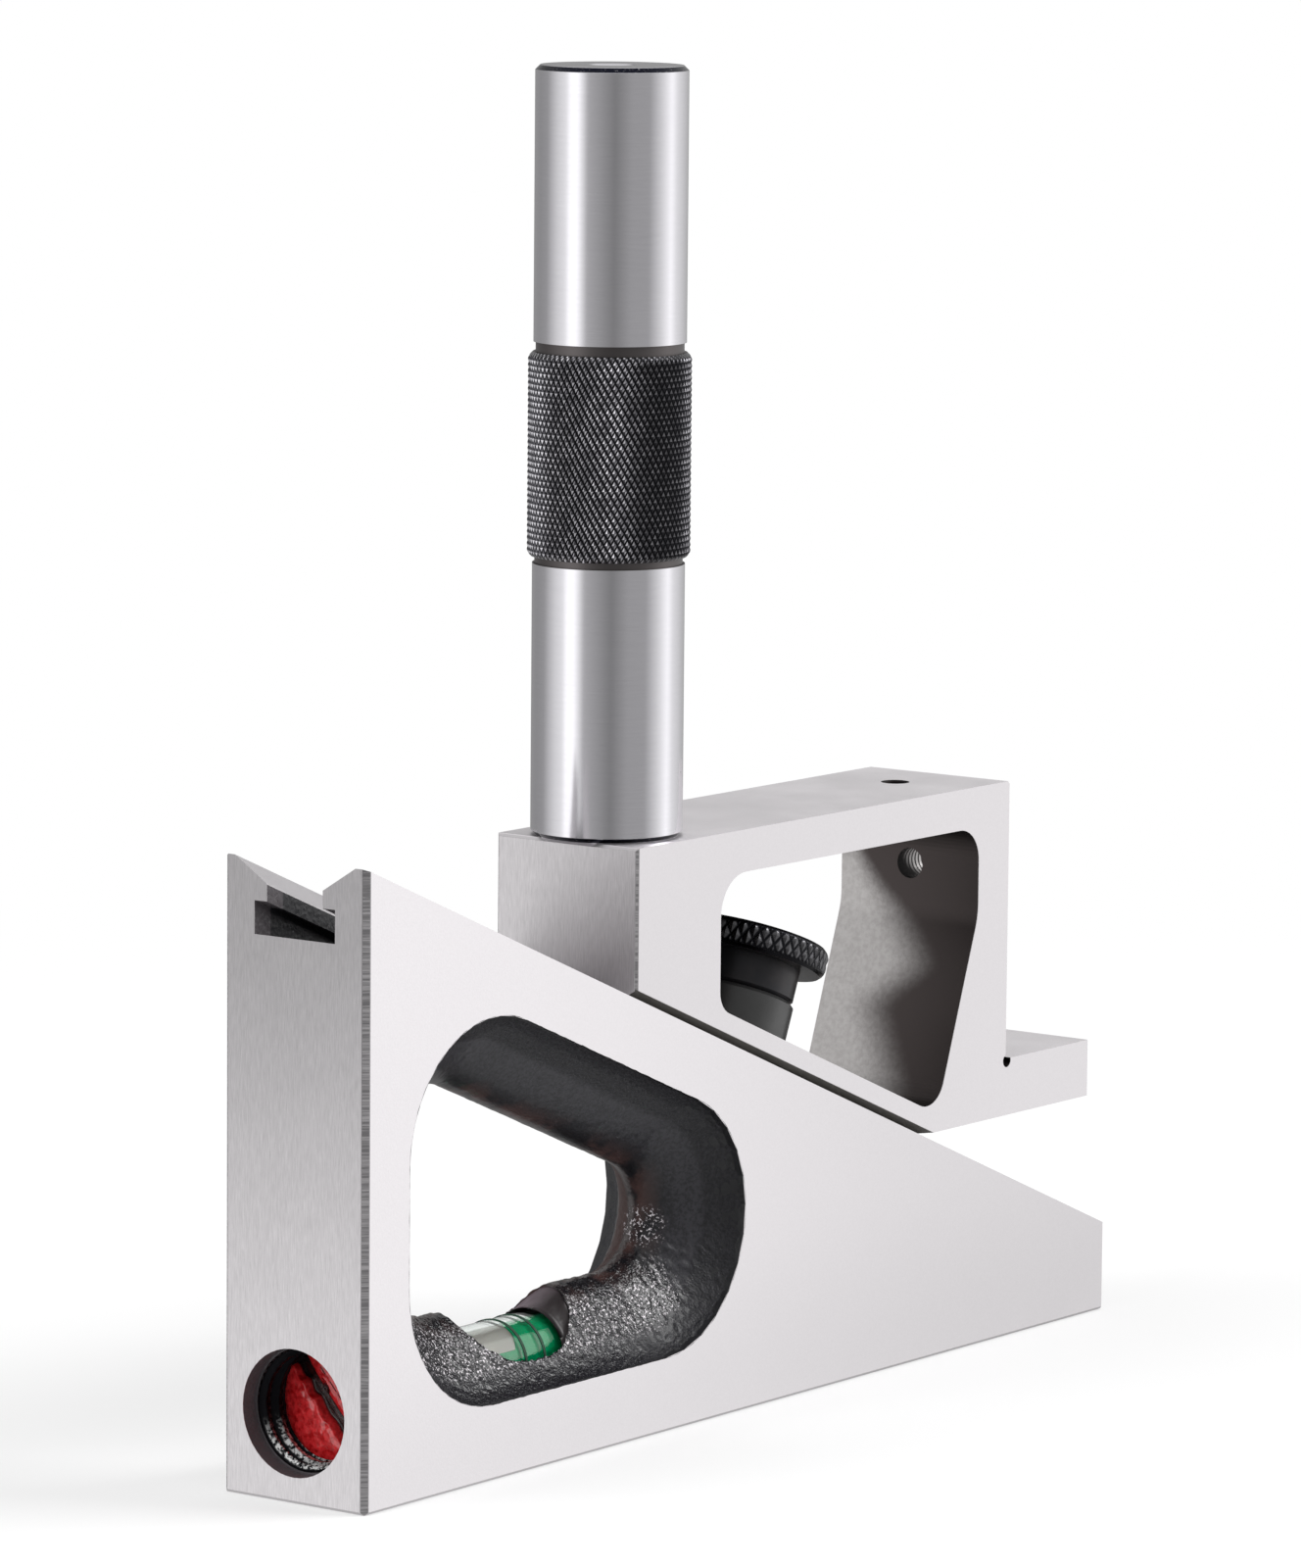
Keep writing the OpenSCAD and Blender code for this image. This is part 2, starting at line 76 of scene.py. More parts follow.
class Axis:
    """A turning axis: where it starts, the way it points and two directions square to it."""

    def __init__(self, start: np.ndarray, along: np.ndarray, side: np.ndarray) -> None:
        """Keeps the axis and works out the third direction.

        Args:
            start: Point where distances along the axis are zero.
            along: Unit direction of the axis.
            side: Unit direction square to it, where angles are zero.
        """
        self.start = np.asarray(start, float)
        self.along = np.asarray(along, float)
        self.side = np.asarray(side, float)
        self.third = np.cross(self.along, self.side)

    def points(self, radius: np.ndarray, angle: np.ndarray, height: np.ndarray) -> np.ndarray:
        """Turns radius, angle and height along the axis into points.

        Args:
            radius: Distances from the axis.
            angle: Angles about it from the side direction, by the right-hand rule.
            height: Distances along it.

        Returns:
            Points, one more dimension than the inputs.
        """
        radius, angle, height = np.broadcast_arrays(radius, angle, height)
        return (self.start + height[..., None] * self.along
                + (radius * np.cos(angle))[..., None] * self.side
                + (radius * np.sin(angle))[..., None] * self.third)


@dataclass(frozen=True)
class Layout:
    """Places that several pieces share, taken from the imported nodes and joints."""

    half_l: float
    half_w: float
    tall_h: float
    slope: float
    climb: Vector
    rod_axis: Axis
    knob_axis: Axis
    bore_axis: Axis
    slide_ends: Pair
    slide_top: float

    @classmethod
    def read(cls, bore_height: float) -> "Layout":
        """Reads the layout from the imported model.

        Args:
            bore_height: Height of the level bore's axis above the foot.

        Returns:
            The layout.
        """
        low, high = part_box("base_body")
        slide_low, slide_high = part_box("slide_body")
        rod_low, rod_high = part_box("extension_rod")
        joints = {joint["name"]: joint for joint in frame["joints"]}
        down = Vector(joints["slide_travel"]["axis"])
        up = Vector(joints["knob_turn"]["axis"])
        across = np.array([0.0, 1.0, 0.0])
        knob_point = Vector(joints["knob_turn"]["pos_m"])
        way_top = Vector((low.x, 0.0, high.z))
        foot = knob_point - up * up.dot(knob_point - way_top)
        return cls(
            half_l=high.x, half_w=high.y, tall_h=high.z, slope=math.atan2(-down.z, down.x),
            climb=up, knob_axis=Axis(foot, up, across),
            rod_axis=Axis(((rod_low.x + rod_high.x) / 2, 0.0, rod_low.z), (0, 0, 1), (1, 0, 0)),
            bore_axis=Axis((low.x, 0.0, bore_height), (1, 0, 0), across),
            slide_ends=(slide_low.x, slide_high.x), slide_top=slide_high.z)


class Noise:
    """A smooth random field: a sum of plane waves with seeded directions and phases."""

    def __init__(self, seed: int, shortest: float, longest: float, waves: int = 48) -> None:
        """Draws the waves.

        Args:
            seed: Seed of the draw.
            shortest: Shortest wavelength.
            longest: Longest wavelength.
            waves: Number of waves.
        """
        draw = np.random.default_rng(seed)
        way = draw.normal(size=(waves, 3))
        way /= np.linalg.norm(way, axis=1, keepdims=True)
        length = np.exp(draw.uniform(np.log(shortest), np.log(longest), waves))
        self.rate = way * (2 * np.pi / length)[:, None]
        self.phase = draw.uniform(0, 2 * np.pi, waves)
        self.gain = math.sqrt(2.0 / waves)

    def at(self, points: np.ndarray) -> np.ndarray:
        """Returns the field at each point: the scaled sum of the cosines, about -2 to 2."""
        return self.gain * np.cos(points @ self.rate.T + self.phase).sum(axis=-1)


def ease(value: np.ndarray, low: float, high: float) -> np.ndarray:
    """Returns the smooth step that rises from 0 at low to 1 at high: 3 t squared less 2 t cubed."""
    share = np.clip((np.asarray(value, float) - low) / (high - low), 0.0, 1.0)
    return share * share * (3.0 - 2.0 * share)


def triangle(phase: np.ndarray) -> np.ndarray:
    """Returns a triangle wave of period 1: 0 at whole phases and 1 half way between them."""
    return 1.0 - np.abs(2.0 * (phase - np.floor(phase)) - 1.0)


def round_turn(steps: int) -> np.ndarray:
    """Returns the angles of even steps round a full turn, without the last."""
    return np.arange(steps) * 2 * np.pi / steps


def grid_piece(name: str, points: np.ndarray, loop_u: bool = False, loop_v: bool = False,
               smooth: bool = True) -> bpy.types.Object:
    """Makes an object of four-sided faces from a grid of points.

    Args:
        name: The piece's name.
        points: Array of rows, columns and three coordinates.
        loop_u: Whether the last row joins the first.
        loop_v: Whether the last column joins the first.
        smooth: Whether the faces are shaded as one curved surface.

    Returns:
        The object, at the origin, with doubles merged and its faces pointing outwards.
    """
    rows, columns = points.shape[:2]
    index = np.arange(rows * columns).reshape(rows, columns)
    if loop_u:
        index = np.concatenate([index, index[:1]], axis=0)
    if loop_v:
        index = np.concatenate([index, index[:, :1]], axis=1)
    faces = np.stack([index[:-1, :-1], index[1:, :-1], index[1:, 1:], index[:-1, 1:]], axis=-1)
    faces = faces.reshape(-1, 4)
    mesh = bpy.data.meshes.new(name)
    mesh.vertices.add(rows * columns)
    mesh.vertices.foreach_set("co", points.astype(np.float32).ravel())
    mesh.loops.add(faces.size)
    mesh.loops.foreach_set("vertex_index", faces.astype(np.int32).ravel())
    mesh.polygons.add(len(faces))
    mesh.polygons.foreach_set("loop_start", np.arange(0, faces.size, 4, dtype=np.int32))
    mesh.polygons.foreach_set("use_smooth", np.full(len(faces), smooth))
    mesh.update(calc_edges=True)
    close_shell(mesh)
    piece = bpy.data.objects.new(name, mesh)
    bpy.context.scene.collection.objects.link(piece)
    return piece


def sleeve(name: str, axis: Axis, radius: np.ndarray, height: np.ndarray, wall: float,
           ends: Pair, smooth: bool = True) -> bpy.types.Object:
    """Makes a sleeve round an axis, closed by a plain wall on its hidden side.

    Args:
        name: The piece's name.
        axis: The axis.
        radius: Radii of the shown side, by steps round the axis and by heights.
        height: The heights.
        wall: Radius of the plain wall.
        ends: Heights of the plain wall's two ends, the last height's end first.
        smooth: Whether the faces are shaded as one curved surface.

    Returns:
        The object.
    """
    angle = round_turn(len(radius))[:, None]
    radius = np.concatenate([radius, np.full((len(radius), 2), wall)], axis=1)
    height = np.concatenate([height, ends])[None, :]
    points = axis.points(radius, angle, height)
    return grid_piece(name, points, loop_u=True, loop_v=True, smooth=smooth)


def close_shell(mesh: bpy.types.Mesh, merge: float = 0.0005 * MM) -> None:
    """Merges doubled points, drops faces that have no area and turns the faces outwards.

    Args:
        mesh: The mesh to change.
        merge: Distance under which points are one.
    """
    work = bmesh.new()
    work.from_mesh(mesh)
    bmesh.ops.remove_doubles(work, verts=work.verts, dist=merge)
    bmesh.ops.dissolve_degenerate(work, dist=merge, edges=work.edges)
    bmesh.ops.recalc_face_normals(work, faces=work.faces)
    work.to_mesh(mesh)
    work.free()
    mesh.update()


def paint(piece: bpy.types.Object, material: bpy.types.Material) -> None:
    """Gives the whole of an object one material."""
    piece.data.materials.clear()
    piece.data.materials.append(material)


class Graph:
    """Short calls that add linked nodes to one node tree."""

    def __init__(self, tree: bpy.types.NodeTree) -> None:
        """Keeps the tree that the nodes go into."""
        self.tree = tree

    def add(self, kind: str, feeds: dict[int | str, Feed] | None = None,
            **settings: object) -> bpy.types.Node:
        """Adds a node, sets its properties and feeds its inputs.

        Args:
            kind: The node's type name.
            feeds: Values or sockets by input name or number.
            **settings: Properties of the node.

        Returns:
            The node.
        """
        node = self.tree.nodes.new(kind)
        for key, value in settings.items():
            setattr(node, key, value)
        for key, value in (feeds or {}).items():
            self.feed(node.inputs[key], value)
        return node

    def feed(self, socket: Socket, value: Feed) -> None:
        """Links a socket to a socket, or sets a socket's own value."""
        if isinstance(value, Socket):
            self.tree.links.new(value, socket)
        else:
            socket.default_value = value

    def math(self, operation: str, *terms: Feed, clamp: bool = False) -> Socket:
        """Returns the result of a Math node on one to three terms."""
        feeds = dict(enumerate(terms))
        node = self.add("ShaderNodeMath", feeds, operation=operation, use_clamp=clamp)
        return node.outputs[0]

    def times(self, first: Feed, *others: Feed) -> Socket:
        """Returns the product of all the values."""
        for other in others:
            first = self.math("MULTIPLY", first, other)
        return first

    def most(self, first: Feed, *others: Feed) -> Socket:
        """Returns the greatest of the values."""
        for other in others:
            first = self.math("MAXIMUM", first, other)
        return first

    def less(self, first: Feed, second: Feed) -> Socket:
        """Returns the first value less the second."""
        return self.math("SUBTRACT", first, second)

    def beyond(self, *shares: Feed) -> Socket:
        """Returns the share that lies outside all the given shares: one less the greatest."""
        return self.less(1.0, self.most(*shares))

    def line(self, value: Feed, slope: Feed, start: Feed) -> Socket:
        """Returns a value times a slope, plus a start."""
        return self.math("MULTIPLY_ADD", value, slope, start)

    def size(self, value: Feed) -> Socket:
        """Returns a value without its sign."""
        return self.math("ABSOLUTE", value)

    def above(self, value: Feed, limit: float) -> Socket:
        """Returns 1 where a value is over a limit, and 0 elsewhere."""
        return self.math("GREATER_THAN", value, limit)

    def below(self, value: Feed, limit: float) -> Socket:
        """Returns 1 where a value is under a limit, and 0 elsewhere."""
        return self.math("LESS_THAN", value, limit)

    def vector(self, operation: str, *terms: Feed) -> Socket:
        """Returns the vector result of a Vector Math node on one to three terms."""
        return self.add("ShaderNodeVectorMath", dict(enumerate(terms)),
                        operation=operation).outputs[0]

    def away(self, where: Feed, point: Feed) -> Socket:
        """Returns the vector from a point to each place."""
        return self.vector("SUBTRACT", where, point)

    def length(self, vector: Feed) -> Socket:
        """Returns the length of a vector."""
        return self.add("ShaderNodeVectorMath", {0: vector}, operation="LENGTH").outputs["Value"]

    def span(self, first: Feed, second: Feed) -> Socket:
        """Returns the distance from zero of two coordinates."""
        return self.length(self.add("ShaderNodeCombineXYZ", {0: first, 1: second}).outputs[0])

    def dot(self, first: Feed, second: Feed) -> Socket:
        """Returns the dot product of two vectors."""
        return self.add("ShaderNodeVectorMath", {0: first, 1: second},
                        operation="DOT_PRODUCT").outputs["Value"]

    def parts(self, vector: Feed) -> tuple[Socket, ...]:
        """Returns the three parts of a vector."""
        return tuple(self.add("ShaderNodeSeparateXYZ", {0: vector}).outputs)

    def fade(self, value: Feed, low: float, high: float) -> Socket:
        """Returns a smooth step from 0 at low to 1 at high, which may be the lesser value."""
        return self.add("ShaderNodeMapRange", {"Value": value, "From Min": low, "From Max": high},
                        interpolation_type="SMOOTHSTEP").outputs[0]

    def scale(self, value: Feed, low: float, high: float) -> Socket:
        """Returns a share of 0 to 1 stretched to run from low to high."""
        return self.line(value, high - low, low)

    def blend(self, share: Feed, first: Feed, second: Feed, mode: str = "MIX",
              clamp: bool = False) -> Socket:
        """Returns two colours mixed by a share."""
        return self.add("ShaderNodeMix", {0: share, 6: first, 7: second}, data_type="RGBA",
                        blend_type=mode, clamp_result=clamp).outputs[2]

    def tone(self, colour: Feed, level: Feed, clamp: bool = False) -> Socket:
        """Returns a colour times a level."""
        level = self.vector("MULTIPLY", (1.0, 1.0, 1.0), level)
        return self.blend(1.0, colour, level, "MULTIPLY", clamp)

    def choose(self, share: Feed, first: Feed, second: Feed) -> Socket:
        """Returns two values mixed by a share."""
        return self.add("ShaderNodeMix", {0: share, 2: first, 3: second},
                        data_type="FLOAT").outputs[0]

    def noise(self, where: Feed, scale: float, detail: float = 2.0, rough: float = 0.5) -> Socket:
        """Returns the strength of a noise pattern, about 0.3 to 0.7."""
        return self.add("ShaderNodeTexNoise", {"Vector": where, "Scale": scale, "Detail": detail,
                                               "Roughness": rough}).outputs[0]

    def patches(self, where: Feed, scale: float, low: float, high: float,
                rough: float = 0.7) -> Socket:
        """Returns a mask of ragged patches: noise of three octaves, cut between two levels."""
        return self.fade(self.noise(where, scale, 3.0, rough), low, high)

    def millimetres(self) -> Socket:
        """Returns the object coordinates in millimetres."""
        coordinates = self.add("ShaderNodeTexCoord").outputs["Object"]
        return self.vector("MULTIPLY", coordinates, (1 / MM, 1 / MM, 1 / MM))

    def bump(self, height: Feed, depth: Feed, under: Feed | None = None) -> Socket:
        """Returns a normal bent by a height pattern.

        Args:
            height: The pattern, about 0 to 1.
            depth: Depth of a full step of the pattern, in metres; it may vary.
            under: A normal to bend further.

        Returns:
            The normal.
        """
        feeds = {"Height": height, "Distance": depth, "Strength": 1.0}
        if under is not None:
            feeds["Normal"] = under
        return self.add("ShaderNodeBump", feeds).outputs[0]


def empty_graph(owner: bpy.types.Material | bpy.types.World) -> Graph:
    """Empties the node tree of a material or a world and returns its graph."""
    owner.use_nodes = True
    owner.node_tree.nodes.clear()
    return Graph(owner.node_tree)


class Effect:
    """A shader node group with named inputs and outputs, built once and placed many times."""

    name = ""
    inputs: dict[str, tuple[str, object]] = {}
    outputs: tuple[str, ...] = ()

    def __init__(self) -> None:
        """Builds the group's tree and lets the kind of effect fill it."""
        self.tree = bpy.data.node_groups.new(self.name, "ShaderNodeTree")
        for name, (kind, value) in self.inputs.items():
            socket = self.tree.interface.new_socket(name, in_out="INPUT", socket_type=kind)
            socket.default_value = value
        for name in self.outputs:
            self.tree.interface.new_socket(name, in_out="OUTPUT", socket_type="NodeSocketFloat")
        graph = Graph(self.tree)
        given = graph.add("NodeGroupInput").outputs
        made = self.fill(graph, {name: given[name] for name in self.inputs})
        graph.add("NodeGroupOutput", made)

    def fill(self, graph: Graph, given: Sockets) -> Sockets:
        """Adds the effect's nodes.

        Args:
            graph: The group's graph.
            given: The group's inputs by name.

        Returns:
            The sockets that the group puts out, by name.
        """
        raise NotImplementedError

    def place(self, graph: Graph, **feeds: Feed) -> bpy.types.bpy_prop_collection:
        """Places the group in a material's graph.

        Args:
            graph: The material's graph.
            **feeds: Values or sockets for the group's inputs.

        Returns:
            The outputs of the group's node.
        """
        return graph.add("ShaderNodeGroup", feeds, node_tree=self.tree).outputs


class GrindMarks(Effect):
    """Marks of a grinding wheel: fine streaks along one direction, grit and broad cloudiness."""

    name = "grind_marks"
    inputs = {"Where": ("NodeSocketVector", (0, 0, 0)), "Run": ("NodeSocketVector", (1, 1, 1)),
              "Grit": ("NodeSocketFloat", 0.5)}
    outputs = ("Streak", "Cloud", "Height")

    def fill(self, graph: Graph, given: Sockets) -> Sockets:
        """Adds stretched noise for the streaks, fine noise for grit and broad noise for cloud."""
        drawn = graph.vector("MULTIPLY", given["Where"], given["Run"])
        streak = graph.noise(drawn, 3.2, 3.0, 0.65)
        grit = graph.noise(given["Where"], 4.5, 2.0, 0.6)
        cloud = graph.noise(given["Where"], 0.16, 3.0, 0.55)
        sandy = graph.choose(given["Grit"], streak, grit)
        return {"Streak": streak, "Cloud": cloud, "Height": sandy}


class WornTips(Effect):
    """Tips rubbed bright on a dark surface, by the distance from a turning axis."""

    name = "worn_tips"
    inputs = {"Where": ("NodeSocketVector", (0, 0, 0)), "Start": ("NodeSocketVector", (0, 0, 0)),
              "Along": ("NodeSocketVector", (0, 0, 1)), "Root": ("NodeSocketFloat", 1.0),
              "Tip": ("NodeSocketFloat", 2.0)}
    outputs = ("Wear", "Height")

    def fill(self, graph: Graph, given: Sockets) -> Sockets:
        """Adds the distance from the axis, patchy noise and the mask of the two."""
        offset = graph.away(given["Where"], given["Start"])
        along = graph.vector("MULTIPLY", given["Along"], graph.dot(offset, given["Along"]))
        radius = graph.length(graph.away(offset, along))
        share = graph.math("DIVIDE", graph.less(radius, given["Root"]),
                           graph.less(given["Tip"], given["Root"]), clamp=True)
        edge = graph.scale(graph.noise(given["Where"], 0.5, 3.0, 0.6), 0.55, 0.15)
        wear = graph.fade(graph.less(share, edge), -0.12, 0.14)
        return {"Wear": wear, "Height": graph.noise(given["Where"], 9.0, 2.0, 0.6)}


class CastGrain(Effect):
    """Grains and pits of thick enamel on a casting."""

    name = "cast_grain"
    inputs = {"Where": ("NodeSocketVector", (0, 0, 0)), "Grain": ("NodeSocketFloat", 2.6),
              "Coarse": ("NodeSocketFloat", 1.0)}
    outputs = ("Height", "Pale")

    def fill(self, graph: Graph, given: Sockets) -> Sockets:
        """Adds rounded cells broken up by fine noise, and a broad pattern of paler paint."""
        swirl = graph.add("ShaderNodeTexNoise", {"Vector": given["Where"], "Scale": 1.4})
        bent = graph.vector("ADD", given["Where"], graph.vector(
            "MULTIPLY", swirl.outputs["Color"], (0.5, 0.5, 0.5)))
        cell = graph.add("ShaderNodeTexVoronoi", {"Vector": bent, "Scale": given["Grain"]},
                         feature="SMOOTH_F1").outputs[0]
        fine = graph.noise(given["Where"], 4.5, 3.0, 0.65)
        grains = graph.times(graph.less(1.0, cell), given["Coarse"])
        return {"Height": graph.line(fine, 0.22, grains),
                "Pale": graph.noise(given["Where"], 0.35, 3.0, 0.6)}


class Effects:
    """The three effects, built once for all materials."""

    def __init__(self) -> None:
        """Builds the groups."""
        self.grind = GrindMarks()
        self.tips = WornTips()
        self.cast = CastGrain()


@dataclass(frozen=True)
class Finish:
    """A procedural finish. Each kind builds one material from its own values."""

    name: str

    def build(self, effects: Effects, layout: Layout) -> bpy.types.Material:
        """Builds the material.

        Args:
            effects: The shared node groups.
            layout: Places on the gauge.

        Returns:
            The material.
        """
        material = bpy.data.materials.new(self.name)
        graph = empty_graph(material)
        shader = graph.add("ShaderNodeBsdfPrincipled")
        for name, value in self.feeds(graph, effects, layout).items():
            graph.feed(shader.inputs[name], value)
        graph.add("ShaderNodeOutputMaterial", {"Surface": shader.outputs[0]})
        return material

    def feeds(self, graph: Graph, effects: Effects, layout: Layout) -> dict[str, Feed]:
        """Adds the finish's nodes.

        Args:
            graph: The material's graph.
            effects: The shared node groups.
            layout: Places on the gauge.

        Returns:
            What the material's Principled BSDF takes, by the name of its input.
        """
        raise NotImplementedError


@dataclass(frozen=True)
class Faces:
    """What the ground faces of a block put out: coordinates, masks and the shader's feeds."""

    where: Socket
    side: Socket
    end: Socket
    strip: Socket
    colour: Socket
    rough: Socket
    normal: Socket


@dataclass(frozen=True)
class GroundFaces(Finish):
    """Ground metal on the outside of a block, with marks along each face's own direction."""

    bright: Colour = (0.82, 0.795, 0.812, 1.0)
    dull: Colour = (0.69, 0.667, 0.682, 1.0)
    # grinding lines on the corner strips, with their dark tone painted as the strips' dark
    # reflection
    scored_and_shaded: Colour = (0.32, 0.31, 0.32, 1.0)
    flat_run: Triple = (0.45, 1.0, 1.0)
    upright_run: Triple = (1.0, 2.6, 0.2)
    ring_run: Triple = (0.05, 0.05, 1.7)
    # painted light: side faces lighter at the left end and darker towards the right, end faces
    # darker towards the top, side faces darker near the foot
    side_shading: Pair = (1.0, 0.82)
    end_shading: Pair = (0.86, 0.50)
    brushed: Pair = (0.76, 1.24)
    foot_shading: float = 0.93
    foot_z: Pair = (2.0, 22.0)
    side_rough: float = 0.40
    end_rough: float = 0.42
    cloud_rough: float = 0.12
    skin: float = 0.05
    corner: float = 0.62
    sandy_x: Pair = (-8.0, -46.0)
    sandy_depth: Pair = (0.004 * MM, 0.013 * MM)

    def rise(self, graph: Graph, where: Socket, layout: Layout) -> Socket:
        """Adds the height over the incline's plane, square to it."""
        start = (-layout.half_l / MM, 0.0, layout.tall_h / MM)
        return graph.dot(graph.away(where, start), tuple(layout.climb))

    def masks(self, graph: Graph, where: Socket, half_w: float, ends: Pair) -> tuple[Socket, ...]:
        """Adds the masks of the side faces, the end faces and the strips at upright corners.

        Args:
            graph: The material's graph.
            where: Object coordinates in millimetres.
            half_w: Half the block's width, in millimetres.
            ends: Where the block's upright ends are, in millimetres.

        Returns:
            The three masks.
        """
        x, y, z = graph.parts(where)
        width = graph.size(y)
        side = graph.above(width, half_w - self.skin)
        near_end = graph.math("MINIMUM", graph.size(graph.less(x, ends[0])),
                              graph.size(graph.less(ends[1], x)))
        end = graph.below(near_end, self.skin)
        rim = graph.math("ADD", near_end, graph.less(half_w, width))
        return side, end, graph.times(graph.below(rim, self.corner), graph.beyond(side, end))

    def faces(self, graph: Graph, effects: Effects, layout: Layout, ends: Pair) -> Faces:
        """Adds the marks of the side, end and corner faces.

        Args:
            graph: The material's graph.
            effects: The shared node groups.
            layout: Places on the gauge.
            ends: Where the block's upright ends are, in metres.

        Returns:
            The masks, the coordinates and the feeds.
        """
        left, right = (end / MM for end in ends)
        where = graph.millimetres()
        x, y, z = graph.parts(where)
        side, end, strip = self.masks(graph, where, layout.half_w / MM, (left, right))
        flat = effects.grind.place(graph, Where=where, Run=self.flat_run, Grit=0.85)
        upright = effects.grind.place(graph, Where=where, Run=self.upright_run, Grit=0.25)
        ring = effects.grind.place(graph, Where=where, Run=self.ring_run, Grit=0.0)
        height = graph.choose(end, flat["Height"], upright["Height"])
        height = graph.choose(strip, height, ring["Height"])
        cloudy = graph.math("MULTIPLY_ADD", flat["Cloud"], 0.3, graph.scale(height, 0.2, 0.8),
                            clamp=True)
        top = layout.tall_h / MM
        # painted shade: the end faces darken towards the top
        fall = graph.choose(graph.fade(z, 0.1 * top, top), *self.end_shading)
        fall = graph.times(fall, graph.scale(upright["Streak"], *self.brushed))
        # painted light: the side faces grade along their length and darken near the foot
        along = graph.choose(graph.fade(x, left, right), *self.side_shading)
        along = graph.times(along, graph.scale(graph.fade(z, *self.foot_z), self.foot_shading, 1.0))
        colour = graph.tone(graph.blend(cloudy, self.dull, self.bright),
                            graph.choose(end, along, fall))
        # grinding lines on the corner strips, painted darker as a dark reflection
        lines = graph.blend(graph.fade(ring["Streak"], 0.36, 0.68), self.scored_and_shaded, self.dull)
        rough = graph.line(flat["Cloud"], self.cloud_rough,
                           graph.choose(end, self.side_rough, self.end_rough))
        sandy = graph.scale(graph.fade(x, *self.sandy_x), *self.sandy_depth)
        return Faces(where, side, end, strip, graph.blend(strip, colour, lines), rough,
                     graph.bump(height, sandy))


@dataclass(frozen=True)
class GroundIron(GroundFaces):
    """The base: ground outside, black inside its slot, bores and window."""

    # painted shade: the way's flanks are darker
    flank_shading: float = 0.84
    paint: Colour = (0.012, 0.012, 0.014, 1.0)
    paint_rough: float = 0.42
    grain: float = 2.2
    grain_depth: float = 0.06 * MM
    slot_depth: float = 2.35
    cut: Colour = (0.17, 0.13, 0.155, 1.0)
    # painted shade on the near side of the cut sight hole
    cut_shaded: Colour = (0.02, 0.017, 0.018, 1.0)
    cut_x: Pair = (-41.6, -22.9)
    cut_w: float = 5.8
    cut_z: float = 9.2
    cut_shade_band: Pair = (0.2, 3.6)
    mouth: Colour = (0.074, 0.066, 0.072, 1.0)
    mouth_l: float = 2.4

    def inside(self, graph: Graph, where: Socket, pale: Socket, end: float) -> Socket:
        """Adds the colour of the walls inside: paint, the cut sight hole with painted shade
        towards its near side, and the bore's mouth.

        Args:
            graph: The material's graph.
            where: Object coordinates in millimetres.
            pale: The cast grain's broad pattern.
            end: Where the tall end is, in millimetres.

        Returns:
            The colour.
        """
        x, y, z = graph.parts(where)
        sight = graph.times(graph.above(x, self.cut_x[0]), graph.below(x, self.cut_x[1]),
                            graph.below(graph.size(y), self.cut_w), graph.above(z, self.cut_z))
        # painted shade: the cut sight hole darkens towards the near side
        shade = graph.fade(graph.line(pale, 3.0, y), *self.cut_shade_band)
        dark = graph.blend(sight, self.paint, graph.blend(shade, self.cut_shaded, self.cut))
        return graph.blend(graph.below(x, end + self.mouth_l), dark, self.mouth)

    def feeds(self, graph: Graph, effects: Effects, layout: Layout) -> dict[str, Feed]:
        """Adds the ground faces, and paint wherever no ground face lies."""
        made = self.faces(graph, effects, layout, (-layout.half_l, layout.half_l))
        way = graph.above(self.rise(graph, made.where, layout), -self.slot_depth)
        foot = graph.below(graph.parts(made.where)[2], self.corner)
        flank = graph.times(way, graph.beyond(made.side, made.end))
        # painted shade: the way's flanks are darkened
        outer = graph.tone(made.colour, graph.scale(flank, 1.0, self.flank_shading))
        ground = graph.most(made.side, made.end, way, foot, made.strip)
        grain = effects.cast.place(graph, Where=made.where, Grain=self.grain)
        height = graph.times(grain["Height"], graph.beyond(ground))
        inner = self.inside(graph, made.where, grain["Pale"], -layout.half_l / MM)
        return {"Base Color": graph.blend(ground, inner, outer),
                "Roughness": graph.choose(ground, self.paint_rough, made.rough),
                "Metallic": ground, "Normal": graph.bump(height, self.grain_depth, made.normal)}


